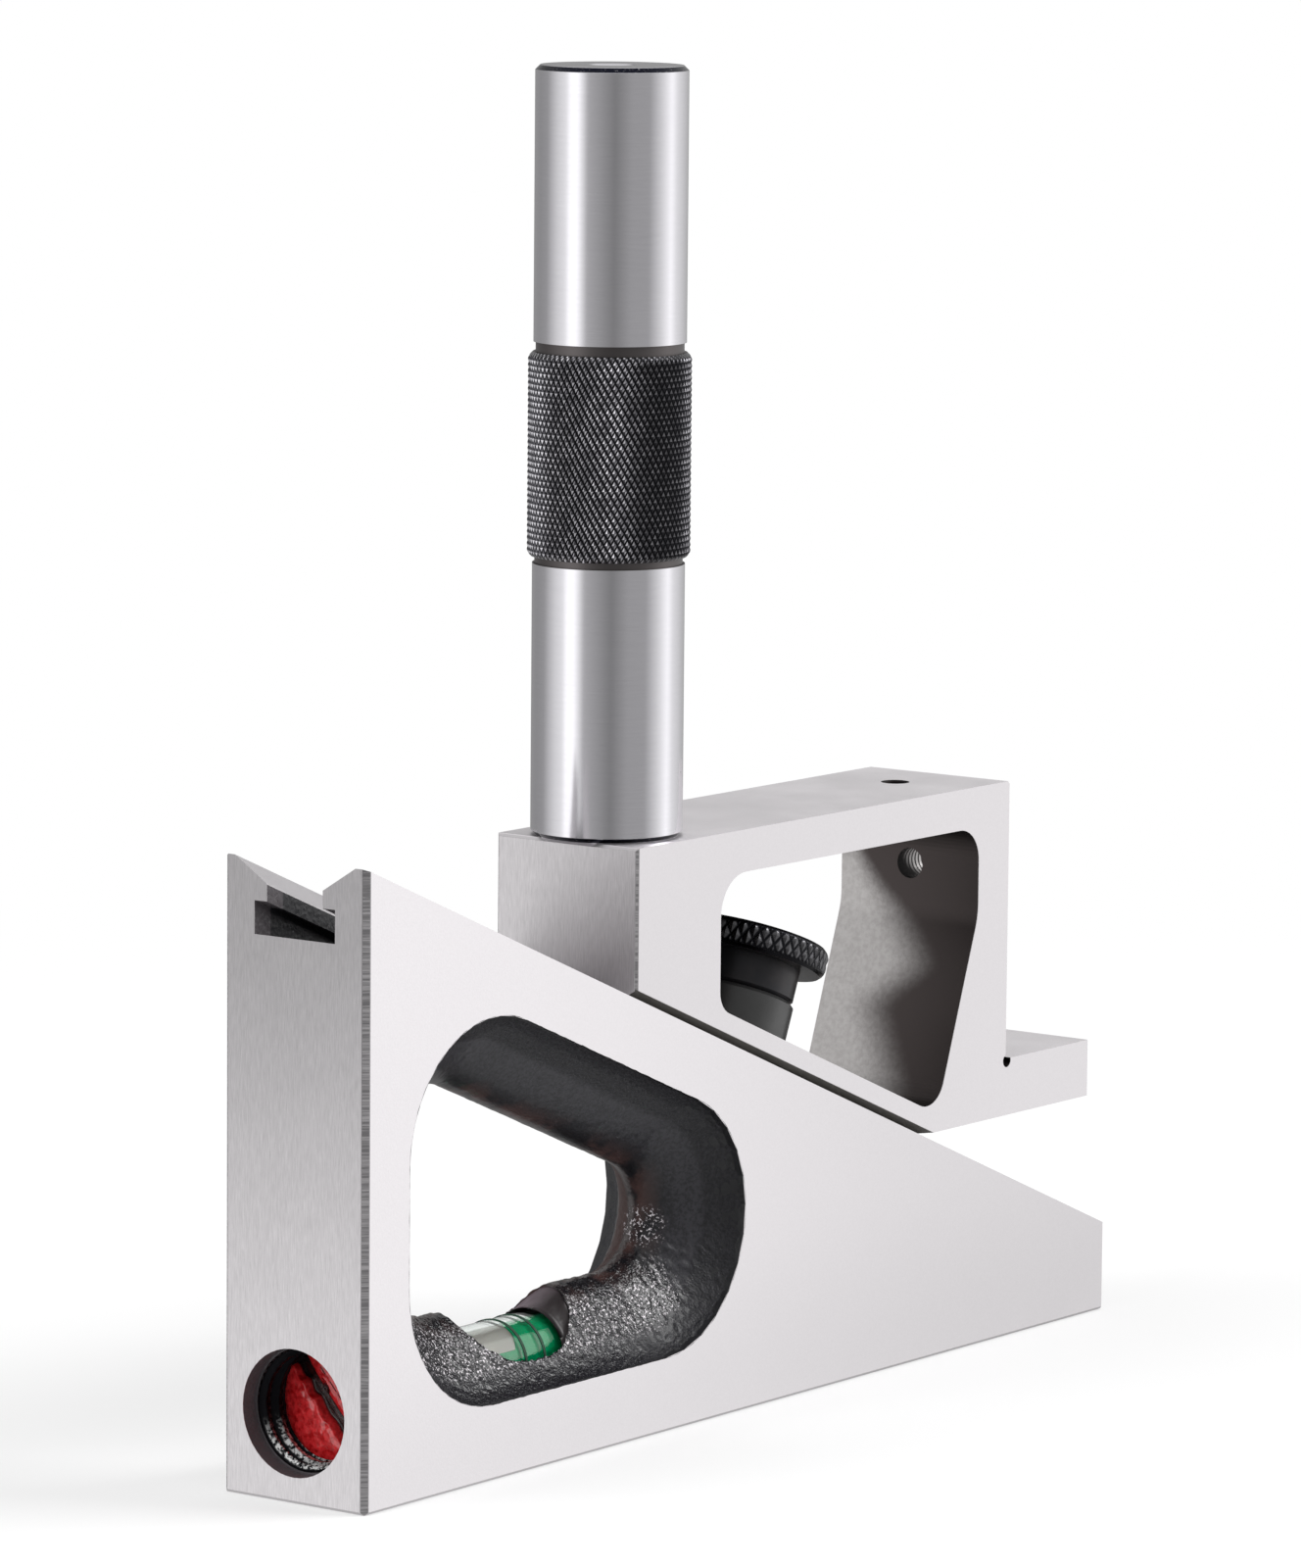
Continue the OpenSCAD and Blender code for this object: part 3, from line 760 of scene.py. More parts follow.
@dataclass(frozen=True)
class GroundSteel(GroundFaces):
    """The slide: ground outside, milled and duller inside its window.

    Places are measured from the slide's upper left edge, to the right and downwards.
    """

    # painted shade: the slide's ends are darker than its sides
    side_shading: Pair = (0.86, 0.88)
    end_shading: Pair = (0.78, 0.76)
    corner: float = 0.32
    # painted light: the slide's top and ledge are made brighter
    roof_light: float = 1.36
    ledge_at: Pair = (65.1, 29.478)
    milled: Colour = (0.365, 0.35, 0.345, 1.0)
    mottled: Colour = (0.43, 0.415, 0.41, 1.0)
    # painted shade on the window's walls
    wall_shade: Colour = (0.058, 0.049, 0.048, 1.0)
    # painted shade inside the holes
    hole_shade: Colour = (0.012, 0.010, 0.010, 1.0)
    milled_rough: float = 0.4
    window_x: Pair = (14.0, 59.6)
    window_low: float = 4.3
    floor_rise: float = 2.5
    # painted shade in the gap between the slide and the base, with an olive tint
    under: Colour = (0.3, 0.3, 0.27, 1.0)
    gap_shade_rise: float = 0.86
    # where the painted shade's edge lies
    shade_back: float = 6.3
    shade_lean: float = 0.6
    notch_drop: Pair = (14.2, 20.2)
    notch: float = 7.4
    brow_drop: Pair = (14.0, 5.0)
    brow: float = 2.6
    soft_drop: Pair = (3.0, 13.0)
    soft_by: float = 2.5
    clear_reach: Pair = (-1.1, 2.0)
    # painted shadow just under the window's top
    shade_drop: Pair = (4.4, 5.2)
    shade: float = 0.84
    hole_x: float = 56.7
    hole_r: float = 1.5
    hole_depth: float = 6.0
    bore_low: float = 8.9
    bore_r: float = 1.8
    bore_rim: float = 0.03
    thread_pitch: float = 0.6
    thread_lit: Pair = (0.9, 2.6)
    relief_at: Pair = (65.33, 29.71)
    relief_r: float = 0.74

    def walls(self, graph: Graph, where: Socket, z: Socket) -> Socket:
        """Adds the window's milled walls, with painted shade towards the near side.

        The edge of the painted shade leans to the near side with the drop below the window's top,
        steps back at a notch, starts farther back under the window's top, and is softer low down.
        Just under the window's top the lit part is dimmed further, as a painted shadow.

        Args:
            graph: The material's graph.
            where: Object coordinates in millimetres.
            z: Height over the slide's top.

        Returns:
            The colour.
        """
        mottle = graph.noise(where, 1.7, 3.0, 0.65)
        drop = graph.less(-self.window_low, z)
        back = graph.line(graph.fade(drop, *self.notch_drop), self.notch, self.shade_back)
        back = graph.line(graph.fade(drop, *self.brow_drop), self.brow, back)
        edge = graph.line(drop, -self.shade_lean, back)
        reach = graph.line(mottle, 0.8, graph.less(graph.parts(where)[1], edge))
        soft = graph.scale(graph.fade(drop, *self.soft_drop), 1.0, self.soft_by)
        light = graph.fade(graph.math("DIVIDE", reach, soft), *self.clear_reach)
        shade = graph.scale(graph.fade(drop, *self.shade_drop), self.shade, 1.0)
        light = graph.times(light, shade)
        unshaded = graph.blend(graph.fade(mottle, 0.3, 0.7), self.milled, self.mottled)
        return graph.blend(light, self.wall_shade, unshaded)

    def threads(self, graph: Graph, where: Socket, x: Socket, high: Socket) -> Socket:
        """Adds the colour of the tapped hole in the window's wall: painted shade inside it, and
        painted highlights on the turns that face the light.

        Args:
            graph: The material's graph.
            where: Object coordinates in millimetres.
            x: Distance from the slide's left end.
            high: Height over the hole's axis.

        Returns:
            The colour.
        """
        turns = graph.math("SINE", graph.times(graph.parts(where)[0], TURN / self.thread_pitch))
        deep = graph.less(x, self.window_x[1])
        lit = graph.fade(graph.line(high, 0.7, deep), *self.thread_lit)
        return graph.blend(graph.times(lit, graph.fade(turns, -1.0, 0.4)), self.hole_shade,
                           self.mottled)

    def feeds(self, graph: Graph, effects: Effects, layout: Layout) -> dict[str, Feed]:
        """Adds the ground faces, the roof brightened as painted light, the window's walls and the
        holes darkened as painted shade.
        """
        made = self.faces(graph, effects, layout, layout.slide_ends)
        corner = (layout.slide_ends[0] / MM, 0.0, layout.slide_top / MM)
        x, y, z = graph.parts(graph.away(made.where, corner))
        rise = self.rise(graph, made.where, layout)
        room = graph.times(
            graph.above(x, self.window_x[0] - self.skin),
            graph.below(x, self.window_x[1] + self.skin),
            graph.below(z, self.skin - self.window_low), graph.above(rise, self.floor_rise),
            graph.beyond(made.side, made.strip))
        ledge = graph.times(graph.above(x, self.ledge_at[0]), graph.below(
            graph.size(graph.less(z, -self.ledge_at[1])), self.skin))
        # painted light: the top and the ledge are brightened
        roof = graph.times(graph.most(ledge, graph.above(z, -self.skin)), graph.beyond(made.side))
        outer = graph.tone(made.colour, graph.scale(roof, 1.0, self.roof_light), clamp=True)
        colour = graph.blend(room, outer, self.walls(graph, made.where, z))
        # painted shade: the slide's faces low on the incline, in the gap over the base, are
        # darkened
        under = graph.times(graph.below(rise, self.gap_shade_rise),
                            graph.beyond(made.side, made.end))
        colour = graph.blend(under, colour, graph.blend(1.0, colour, self.under, "MULTIPLY"))
        # painted shade: the tapped holes and the relief groove are darkened, and the side hole's
        # turns get painted highlights
        hole = graph.times(
            graph.below(graph.span(graph.less(x, self.hole_x), y), self.hole_r),
            graph.above(z, -self.hole_depth))
        high = graph.less(z, -self.bore_low)
        bore = graph.times(graph.below(graph.span(high, y), self.bore_r),
                           graph.above(x, self.window_x[1] + self.bore_rim))
        relief = graph.span(graph.less(x, self.relief_at[0]), graph.less(z, -self.relief_at[1]))
        groove = graph.times(graph.below(relief, self.relief_r), graph.beyond(made.side))
        dark = graph.blend(bore, self.hole_shade, self.threads(graph, made.where, x, high))
        return {"Base Color": graph.blend(graph.most(hole, bore, groove), colour, dark),
                "Roughness": graph.choose(room, made.rough, self.milled_rough),
                "Metallic": 1.0, "Normal": made.normal}


@dataclass(frozen=True)
class TurnedSteel(Finish):
    """The rod: polished where it is ground, black in the grooves beside the knurl."""

    bright: Colour = (0.715, 0.705, 0.735, 1.0)
    dull: Colour = (0.595, 0.585, 0.615, 1.0)
    black: Colour = (0.11, 0.1, 0.1, 1.0)
    blue: Colour = (0.012, 0.013, 0.022, 1.0)
    run: Triple = (0.12, 0.12, 2.4)
    rough: float = 0.1
    band_rough: float = 0.38
    band: Pair = (27.1, 49.0)
    band_edge: float = 0.04
    rim: Pair = (7.1, 7.56)
    rim_edges: Pair = (0.03, 0.02)
    mark_depth: float = 0.0015 * MM

    def feeds(self, graph: Graph, effects: Effects, layout: Layout) -> dict[str, Feed]:
        """Adds rings of fine marks round the rod, the black band and the blued rims of its ends."""
        where = graph.millimetres()
        x, y, z = graph.parts(graph.away(where, tuple(layout.rod_axis.start / MM)))
        marks = effects.grind.place(graph, Where=where, Run=self.run, Grit=0.2)
        foot, top = self.band
        band = graph.times(graph.fade(z, foot - self.band_edge, foot),
                           graph.fade(z, top + self.band_edge, top))
        steel = graph.blend(graph.scale(marks["Height"], 0.1, 0.9), self.dull, self.bright)
        radius = graph.span(x, y)
        inner, outer = self.rim
        rim = graph.times(graph.fade(radius, inner, inner + self.rim_edges[0]),
                          graph.fade(radius, outer, outer - self.rim_edges[1]))
        chips = graph.patches(where, 5.0, 0.62, 0.72)
        steel = graph.blend(graph.times(rim, graph.beyond(chips)), steel, self.blue)
        rough = graph.line(marks["Cloud"], 0.1, self.rough)
        return {"Base Color": graph.blend(band, steel, self.black),
                "Roughness": graph.choose(band, rough, self.band_rough),
                "Metallic": 1.0, "Normal": graph.bump(marks["Height"], self.mark_depth)}


@dataclass(frozen=True)
class WornBlack(Finish):
    """Blackened metal, rubbed bright where it stands farthest from the root of its relief."""

    start: Triple = (0.0, 0.0, 0.0)
    along: Triple = (0.0, 0.0, 1.0)
    root: float = 1.0
    tip: float = 2.0
    black: Colour = (0.012, 0.012, 0.014, 1.0)
    worn: Colour = (0.36, 0.355, 0.37, 1.0)
    wear: float = 1.0
    rough: float = 0.22
    rough_more: float = 0.12
    depth: float = 0.006 * MM

    @classmethod
    def on(cls, name: str, axis: Axis, root: float, tip: float, **values: Feed) -> "WornBlack":
        """Makes the finish for a relief round an axis.

        Args:
            name: The finish's name.
            axis: The axis.
            root: Radius at the relief's root, in metres.
            tip: Radius at its tips, in metres.
            **values: Other values of the finish.

        Returns:
            The finish.
        """
        return cls(name, start=tuple(axis.start / MM), along=tuple(axis.along), root=root / MM,
                   tip=tip / MM, **values)

    def colour(self, graph: Graph, where: Socket, wear: Socket) -> Socket:
        """Adds the black with the worn tips over it.

        Args:
            graph: The material's graph.
            where: Object coordinates in millimetres; not used here.
            wear: The mask of the tips.

        Returns:
            The colour.
        """
        return graph.blend(graph.times(wear, self.wear), self.black, self.worn)

    def feeds(self, graph: Graph, effects: Effects, layout: Layout) -> dict[str, Feed]:
        """Adds the colour and a fine relief."""
        where = graph.millimetres()
        tips = effects.tips.place(graph, Where=where, Start=self.start, Along=self.along,
                                  Root=self.root, Tip=self.tip)
        return {"Base Color": self.colour(graph, where, tips["Wear"]),
                "Roughness": graph.scale(tips["Height"], self.rough,
                                         self.rough + self.rough_more),
                "Metallic": 1.0, "Normal": graph.bump(tips["Height"], self.depth)}


@dataclass(frozen=True)
class ThreadBlack(WornBlack):
    """The thread's paint, with bright metal specks on the crests low down in the bore: wear, and
    painted highlights where the lower turns face the light.
    """

    worn: Colour = grey(0.8)
    rough: float = 0.4
    speck: float = 2.4
    low_z: float = 0.0
    low_fade: float = 3.0

    def colour(self, graph: Graph, where: Socket, wear: Socket) -> Socket:
        """Adds the black with bright metal specks on the crests lower down: wear, and painted
        highlights.
        """
        low = graph.fade(graph.parts(where)[2], self.low_z, self.low_z - self.low_fade)
        bits = graph.patches(where, self.speck, 0.42, 0.56)
        return super().colour(graph, where, graph.times(wear, low, bits))


@dataclass(frozen=True)
class KnurlFacets(WornBlack):
    """A rolled knurl whose diamonds show separate facets, with painted highlights on the facets and
    painted light on one side of the rod.
    """

    around: int = 1
    tall: float = 1.0
    foot: float = 0.0
    facet: Colour = (0.08, 0.078, 0.087, 1.0)
    # painted highlights on the facets that face up and on those that face down
    glint: Colour = (0.9, 0.88, 0.93, 1.0)
    shine: Colour = (0.75, 0.74, 0.78, 1.0)
    # painted light: the knurl is brighter on the side this direction points to
    lit_side: Triple = (-0.596, 0.803, 0.0)

    def facets(self, graph: Graph, where: Socket) -> tuple[Socket, ...]:
        """Adds the same two triangle waves as the knurl's relief and reads its facets from them.

        Args:
            graph: The material's graph.
            where: Coordinates from the knurl's start, in millimetres.

        Returns:
            Masks of what lies out of the grooves and, of the facets beside one family of grooves,
            of those that face up and of those that face down.
        """
        x, y, z = graph.parts(where)
        turn = graph.times(graph.math("ARCTAN2", y, x), self.around / TURN)
        climb = graph.line(z, 1 / self.tall, -self.foot / self.tall)
        down = graph.less(turn, climb)
        first = graph.math("PINGPONG", graph.math("ADD", turn, climb), 0.5)
        second = graph.math("PINGPONG", down, 0.5)
        raised = graph.fade(graph.math("MINIMUM", first, second), 0.09, 0.2)
        own = graph.times(raised, graph.fade(graph.less(first, second), -0.02, 0.06))
        upper = graph.times(own, graph.fade(graph.math("FRACT", down), 0.56, 0.42))
        return raised, upper, graph.less(own, upper)

    def colour(self, graph: Graph, where: Socket, wear: Socket) -> Socket:
        """Adds the facets' colours with painted highlights, patchy, and brighter on the painted lit
        side.
        """
        offset = graph.away(where, self.start)
        raised, upper, lower = self.facets(graph, offset)
        # painted light: brighter towards the lit side
        side_light = graph.fade(graph.dot(offset, self.lit_side), -0.9 * self.tip, 0.9 * self.tip)
        patch = graph.scale(graph.patches(where, 0.8, 0.36, 0.66, 0.65), 0.3, 1.0)
        patch = graph.times(patch, graph.scale(side_light, 0.2, 1.35))
        raised = graph.times(raised, graph.scale(side_light, 0.2, 1.2))
        colour = graph.blend(raised, self.black, self.facet)
        colour = graph.blend(graph.times(upper, patch), colour, self.glint)
        return graph.blend(graph.times(lower, patch), colour, self.shine)


@dataclass(frozen=True)
class OxideSteel(Finish):
    """Blackened steel: near black with a faint brown cast and turning marks."""

    black: Colour = (0.019, 0.019, 0.022, 1.0)
    brown: Colour = (0.04, 0.035, 0.035, 1.0)
    rough: float = 0.34
    depth: float = 0.006 * MM

    def feeds(self, graph: Graph, effects: Effects, layout: Layout) -> dict[str, Feed]:
        """Adds turning marks round the clamp's axis and a cloudy colour."""
        where = graph.millimetres()
        lift = graph.vector("MULTIPLY", (1.0, 1.0, 1.0), graph.dot(where, tuple(layout.climb)))
        marks = effects.grind.place(graph, Where=where, Run=(1.0, 1.0, 1.0), Grit=1.0)
        height = graph.choose(0.5, graph.noise(lift, 5.0, 2.0, 0.6), marks["Height"])
        cloud = graph.fade(marks["Cloud"], 0.35, 0.7)
        return {"Base Color": graph.blend(cloud, self.black, self.brown),
                "Roughness": graph.scale(height, self.rough - 0.06, self.rough + 0.1),
                "Metallic": 0.6, "Normal": graph.bump(height, self.depth)}


@dataclass(frozen=True)
class CastEnamel(Finish):
    """Thick black enamel over a rough casting."""

    black: Colour = (0.006, 0.006, 0.008, 1.0)
    # the grains' pale chips, and the painted sheen
    pale: Colour = (0.028, 0.027, 0.033, 1.0)
    brown: Colour = (0.06, 0.032, 0.029, 1.0)
    seam: Colour = (0.06, 0.05, 0.05, 1.0)
    # painted glints: bright flecks that stand for highlights on the grains
    glint_colour: Colour = (0.85, 0.8, 0.84, 1.0)
    grain: float = 4.0
    depth: float = 0.1 * MM
    glint_spot: Triple = (-9.3, -1.2, 19.0)
    glint_spot_r: float = 2.7
    rough: Pair = (0.36, 0.14)
    rim_rough: float = 0.55
    coarse_z: Pair = (27.0, 17.0)
    lift_z: float = 7.0
    wander_z: float = -14.0
    smooth_x: Pair = (-15.0, -5.0)
    smooth_z: float = 15.0
    rim_y: Pair = (5.0, 5.9)
    sheen_y: Pair = (1.2, 4.6)
    glint_x: Pair = (-40.0, -24.0)
    glint_near: Pair = (1.6, 3.2)
    glint_far: Pair = (6.4, 5.0)
    far_y: Pair = (0.0, 0.8)
    far_width: Pair = (4.6, 2.2)
    brown_width: Pair = (3.4, 0.6)
    crest_y: Pair = (0.08, 0.3)
    dull_x: Pair = (-24.0, -14.0)

    def sheen(self, graph: Graph, where: Socket, width: Socket, high: Socket, rim: Socket
              ) -> Socket:
        """Adds the mask of the painted sheen: a sandy, paler colour on the wall's upper part
        and rims.

        Args:
            graph: The material's graph.
            where: Object coordinates in millimetres.
            width: Distance from mid width.
            high: The mask of the smooth upper part.
            rim: The mask of the rims.

        Returns:
            The mask.
        """
        wall = graph.times(high, graph.fade(width, *self.sheen_y), graph.beyond(rim))
        sand = graph.patches(where, 2.6, 0.38, 0.66)
        return graph.times(graph.most(wall, graph.times(rim, 0.4)),
                           graph.scale(sand, 0.35, 1.5))

    def glints(self, graph: Graph, where: Socket, width: Socket, low: Socket) -> Socket:
        """Adds the mask of the painted glints: bright flecks low on the wall and at one spot.

        Args:
            graph: The material's graph.
            where: Object coordinates in millimetres.
            width: Distance from mid width.
            low: The mask of the coarse lower part.

        Returns:
            The mask.
        """
        more = graph.scale(graph.fade(graph.parts(where)[0], *self.glint_x), 1.5, 1.0)
        lit = graph.times(graph.fade(width, *self.glint_near), graph.fade(width, *self.glint_far),
                          low, more)
        glint_spot = graph.fade(graph.length(graph.away(where, self.glint_spot)), self.glint_spot_r,
                          0.4 * self.glint_spot_r)
        return graph.times(graph.most(lit, glint_spot), graph.patches(where, 3.4, 0.565, 0.63))

    def feeds(self, graph: Graph, effects: Effects, layout: Layout) -> dict[str, Feed]:
        """Adds grains that coarsen downwards, a painted sheen, a bare seam on the crest, brown
        beside it and painted glints.
        """
        where = graph.millimetres()
        x, y, z = graph.parts(where)
        width = graph.size(y)
        broad = graph.noise(where, 0.22, 3.0, 0.6)
        level = graph.line(broad, self.wander_z, graph.math("ADD", z, self.lift_z))
        level = graph.line(graph.fade(x, *self.smooth_x), self.smooth_z, level)
        low = graph.fade(level, *self.coarse_z)
        high = graph.beyond(low)
        rim = graph.fade(width, *self.rim_y)
        coarse = graph.most(graph.scale(low, 0.08, 1.0), graph.times(rim, 0.9))
        cast = effects.cast.place(graph, Where=where, Grain=self.grain, Coarse=coarse)
        chips = graph.times(graph.fade(cast["Height"], 0.75, 1.2), low)
        sheen = self.sheen(graph, where, width, high, rim)
        # the pale colour serves both the grains' chips and the painted sheen
        colour = graph.blend(graph.most(chips, sheen), self.black, self.pale)
        far = graph.times(graph.fade(y, *self.far_y), graph.fade(width, *self.far_width))
        beside = graph.times(graph.fade(width, *self.brown_width), graph.fade(broad, 0.42, 0.62))
        colour = graph.blend(graph.most(beside, graph.times(far, 0.8)), colour, self.brown)
        ragged = graph.noise(where, 1.1, 4.0, 0.7)
        crest = graph.fade(graph.line(ragged, 1.1, graph.times(width, -1.0)), *self.crest_y)
        colour = graph.blend(graph.times(crest, graph.fade(ragged, 0.3, 0.55)), colour, self.seam)
        # painted glints over the enamel
        colour = graph.blend(self.glints(graph, where, width, low), colour, self.glint_colour)
        dull_rim = graph.times(graph.most(high, graph.fade(x, *self.dull_x)),
                               graph.times(rim, self.rim_rough))
        return {"Base Color": colour,
                "Roughness": graph.most(graph.choose(low, *self.rough), graph.times(far, 0.6),
                                        dull_rim),
                "Specular IOR Level": 0.36, "Coat Weight": graph.scale(far, 0.15, 0.0),
                "Coat Roughness": 0.12, "Normal": graph.bump(cast["Height"], self.depth)}


@dataclass(frozen=True)
class OilyCut(Finish):
    """Cut iron gone brown and lilac, with painted shade towards the near side."""

    pale: Colour = (0.17, 0.125, 0.15, 1.0)
    # painted shade on the near side
    dark: Colour = (0.022, 0.017, 0.018, 1.0)
    near_shade_y: Pair = (-0.8, 3.6)
    rough: Pair = (0.35, 0.55)
    depth: float = 0.05 * MM

    def feeds(self, graph: Graph, effects: Effects, layout: Layout) -> dict[str, Feed]:
        """Adds the lilac colour and the painted shade by the place across the width, and a fine
        grain.
        """
        where = graph.millimetres()
        grain = effects.cast.place(graph, Where=where, Grain=3.0, Coarse=0.3)
        shade = graph.fade(graph.line(grain["Pale"], 2.0, graph.parts(where)[1]), *self.near_shade_y)
        return {"Base Color": graph.blend(shade, self.dark, self.pale),
                "Roughness": graph.scale(grain["Pale"], *self.rough),
                "Normal": graph.bump(grain["Height"], self.depth)}


@dataclass(frozen=True)
class Lacquer(Finish):
    """Glossy red sealing lacquer, lumpy, and black at the bottom of the slot."""

    red: Colour = (0.72, 0.03, 0.035, 1.0)
    deep: Colour = (0.42, 0.005, 0.007, 1.0)
    black: Colour = (0.012, 0.006, 0.006, 1.0)
    face: float = 0.0
    slot_d: float = 1.0
    rough: Pair = (0.05, 0.35)
    depth: float = 0.08 * MM

    def feeds(self, graph: Graph, effects: Effects, layout: Layout) -> dict[str, Feed]:
        """Adds red on the face, darker with depth, under a clear gloss."""
        where = graph.millimetres()
        deep = graph.less(graph.parts(where)[0], self.face)
        lumps = graph.noise(where, 1.6, 4.0, 0.6)
        bits = graph.noise(where, 7.0, 2.0, 0.7)
        red = graph.blend(graph.fade(lumps, 0.35, 0.65), self.deep, self.red)
        floor = graph.fade(graph.line(lumps, 0.4, deep), self.slot_d * 0.85, self.slot_d * 1.15)
        return {"Base Color": graph.blend(floor, red, self.black),
                "Roughness": graph.scale(bits, *self.rough), "Coat Weight": 0.8,
                "Coat Roughness": 0.04,
                "Normal": graph.bump(graph.line(bits, 0.3, lumps), self.depth)}


@dataclass(frozen=True)
class ClearGlass(Finish):
    """Drawn glass with slight waves along the tube."""

    tint: Colour = (0.93, 0.98, 0.95, 1.0)
    index: float = 1.47
    clear: float = 1.0
    rough: float = 0.02
    wave: float = 0.01 * MM
    drawn: Triple = (0.15, 1.0, 1.0)

    def feeds(self, graph: Graph, effects: Effects, layout: Layout) -> dict[str, Feed]:
        """Adds the tint, faintly cloudy, and long shallow waves as relief."""
        cloud = graph.noise(graph.vector("MULTIPLY", graph.millimetres(), self.drawn), 0.8)
        faint = tuple(level * 0.97 for level in self.tint[:3]) + (1.0,)
        return {"Base Color": graph.blend(cloud, self.tint, faint), "IOR": self.index,
                "Transmission Weight": self.clear, "Roughness": self.rough,
                "Normal": graph.bump(cloud, self.wave)}


@dataclass(frozen=True)
class SoftMatt(Finish):
    """A matt finish with a fine grain, for rubber, ink and putty."""

    base: Colour = grey(0.1)
    shade: Colour = grey(0.05)
    rough: float = 0.7
    grain: float = 3.0
    depth: float = 0.02 * MM

    def feeds(self, graph: Graph, effects: Effects, layout: Layout) -> dict[str, Feed]:
        """Adds a speckled colour and a fine relief."""
        speck = graph.noise(graph.millimetres(), self.grain, 3.0, 0.6)
        return {"Base Color": graph.blend(graph.fade(speck, 0.35, 0.65), self.shade, self.base),
                "Roughness": graph.scale(speck, self.rough - 0.1, self.rough + 0.1),
                "Normal": graph.bump(speck, self.depth)}


class Seed(IntEnum):
    """Seeds of the random fields, one for each use."""

    FILM_LUMPS = 3
    FILM_SAG = 4
    RIM = 5
    SEAM = 6
    SIGHT_RIM = 9
    THREAD = 11
    LACQUER = 21
    SLOT_WALL = 22
    SIGHT_WALL = 31


@dataclass(frozen=True)
class Knurl:
    """A sleeve of rolled diamonds round a turning axis, closed by a wall inside the metal."""

    name: str
    foot: float
    length: float
    root: float
    tip: float
    around: int
    tall: float
    foot_bevel: float
    top_bevel: float
    steps: tuple[int, int] = (8, 8)
    fade: float = 0.35 * MM
    fade_out: float = 0.2
    lift: float = 0.01 * MM
    sink: float = 0.12 * MM
    cut_off: float = 0.94

    def relief(self, angle: np.ndarray, height: np.ndarray) -> np.ndarray:
        """Returns the diamonds' height as a share.

        It is the lesser of two triangle waves that climb the sleeve with opposite turns, so it
        is 0 in both families of grooves and 1 on each tip, which is slightly cut off.
        """
        turn = angle * self.around / TURN
        climb = height / self.tall
        waves = np.minimum(triangle(turn + climb), triangle(turn - climb))
        return np.minimum(waves, self.cut_off) / self.cut_off

    def build(self, axis: Axis) -> bpy.types.Object:
        """Builds the sleeve: radius is the band's own profile plus the relief, faded at its ends.

        Args:
            axis: The axis that the sleeve goes round.

        Returns:
            The sleeve.
        """
        rows = int(round(self.length / self.tall * self.steps[1]))
        angle = round_turn(self.around * self.steps[0])
        height = np.linspace(0.0, self.length, rows + 1)
        bevel = (np.maximum(self.foot_bevel - height, 0.0)
                 + np.maximum(self.top_bevel - (self.length - height), 0.0))
        inside = np.minimum(height - self.foot_bevel, self.length - self.top_bevel - height)
        share = ease(inside, -self.fade_out * self.fade, self.fade)
        grid = self.relief(angle[:, None], height[None, :]) * share[None, :]
        radius = self.root + self.lift - bevel[None, :] + (self.tip - self.root) * grid
        wall = self.root - self.sink - max(self.foot_bevel, self.top_bevel)
        ends = (self.length - self.lift + self.foot, self.lift + self.foot)
        return sleeve(self.name, axis, radius, height + self.foot, wall, ends, smooth=False)


@dataclass(frozen=True)
class BoreThread:
    """The screw thread that stands inwards in the level bore, from the mouth to the plug."""

    foot: float = 2.0 * MM
    end: float = 5.78 * MM
    root: float = 6.0 * MM
    crest: float = 5.42 * MM
    pitch: float = 1.95 * MM
    phase: float = 0.1
    steep: float = 1.75
    root_cut: float = 0.35
    run_in: float = 0.3
    lift: float = 0.01 * MM
    sink: float = 0.06 * MM
    rag: float = 0.035 * MM
    columns: int = 240
    rows: int = 130

    def build(self, axis: Axis) -> bpy.types.Object:
        """Builds the thread.

        The radius falls from the root to the crest with a clipped triangle wave whose phase is
        the distance along the bore over the pitch, less the turn, with a ragged paint film.

        Args:
            axis: The bore's axis.

        Returns:
            The thread, closed by a wall inside the casting.
        """
        angle = round_turn(self.columns)
        depth = np.linspace(self.foot, self.end, self.rows)
        phase = depth[None, :] / self.pitch - angle[:, None] / TURN
        ridge = np.clip(triangle(phase + self.phase) * self.steep - self.root_cut, 0.0, 1.0)
        start = ease(depth, self.foot, self.foot + self.run_in * self.pitch)
        radius = self.root - self.lift - (self.root - self.crest) * ridge * start[None, :]
        flat = axis.points(radius, angle[:, None], depth[None, :])
        ragged = np.abs(Noise(Seed.THREAD, 0.4 * MM, 1.6 * MM).at(flat))
        radius = radius - self.rag * ragged * ridge
        return sleeve("bore_thread", axis, radius, depth, self.root + self.sink,
                      (self.end, self.foot))


@dataclass(frozen=True)
class SightHole:
    """The upright oval hole in the window's floor, by which the level is seen."""

    centre_x: float = 31.3 * MM
    length: float = 18.2 * MM
    width: float = 11.3 * MM
    power: float = 0.88

    def oval(self, turn: np.ndarray) -> tuple[np.ndarray, np.ndarray]:
        """Works out the oval about its own centre.

        Its coordinates are the cosine and the sine of the turn, each raised to one power with
        its sign kept, times half the length and half the width.

        Args:
            turn: The turns.

        Returns:
            Distances along and across the base.
        """
        c, s = np.cos(turn), np.sin(turn)
        return (np.sign(c) * np.abs(c) ** self.power * self.length / 2,
                np.sign(s) * np.abs(s) ** self.power * self.width / 2)


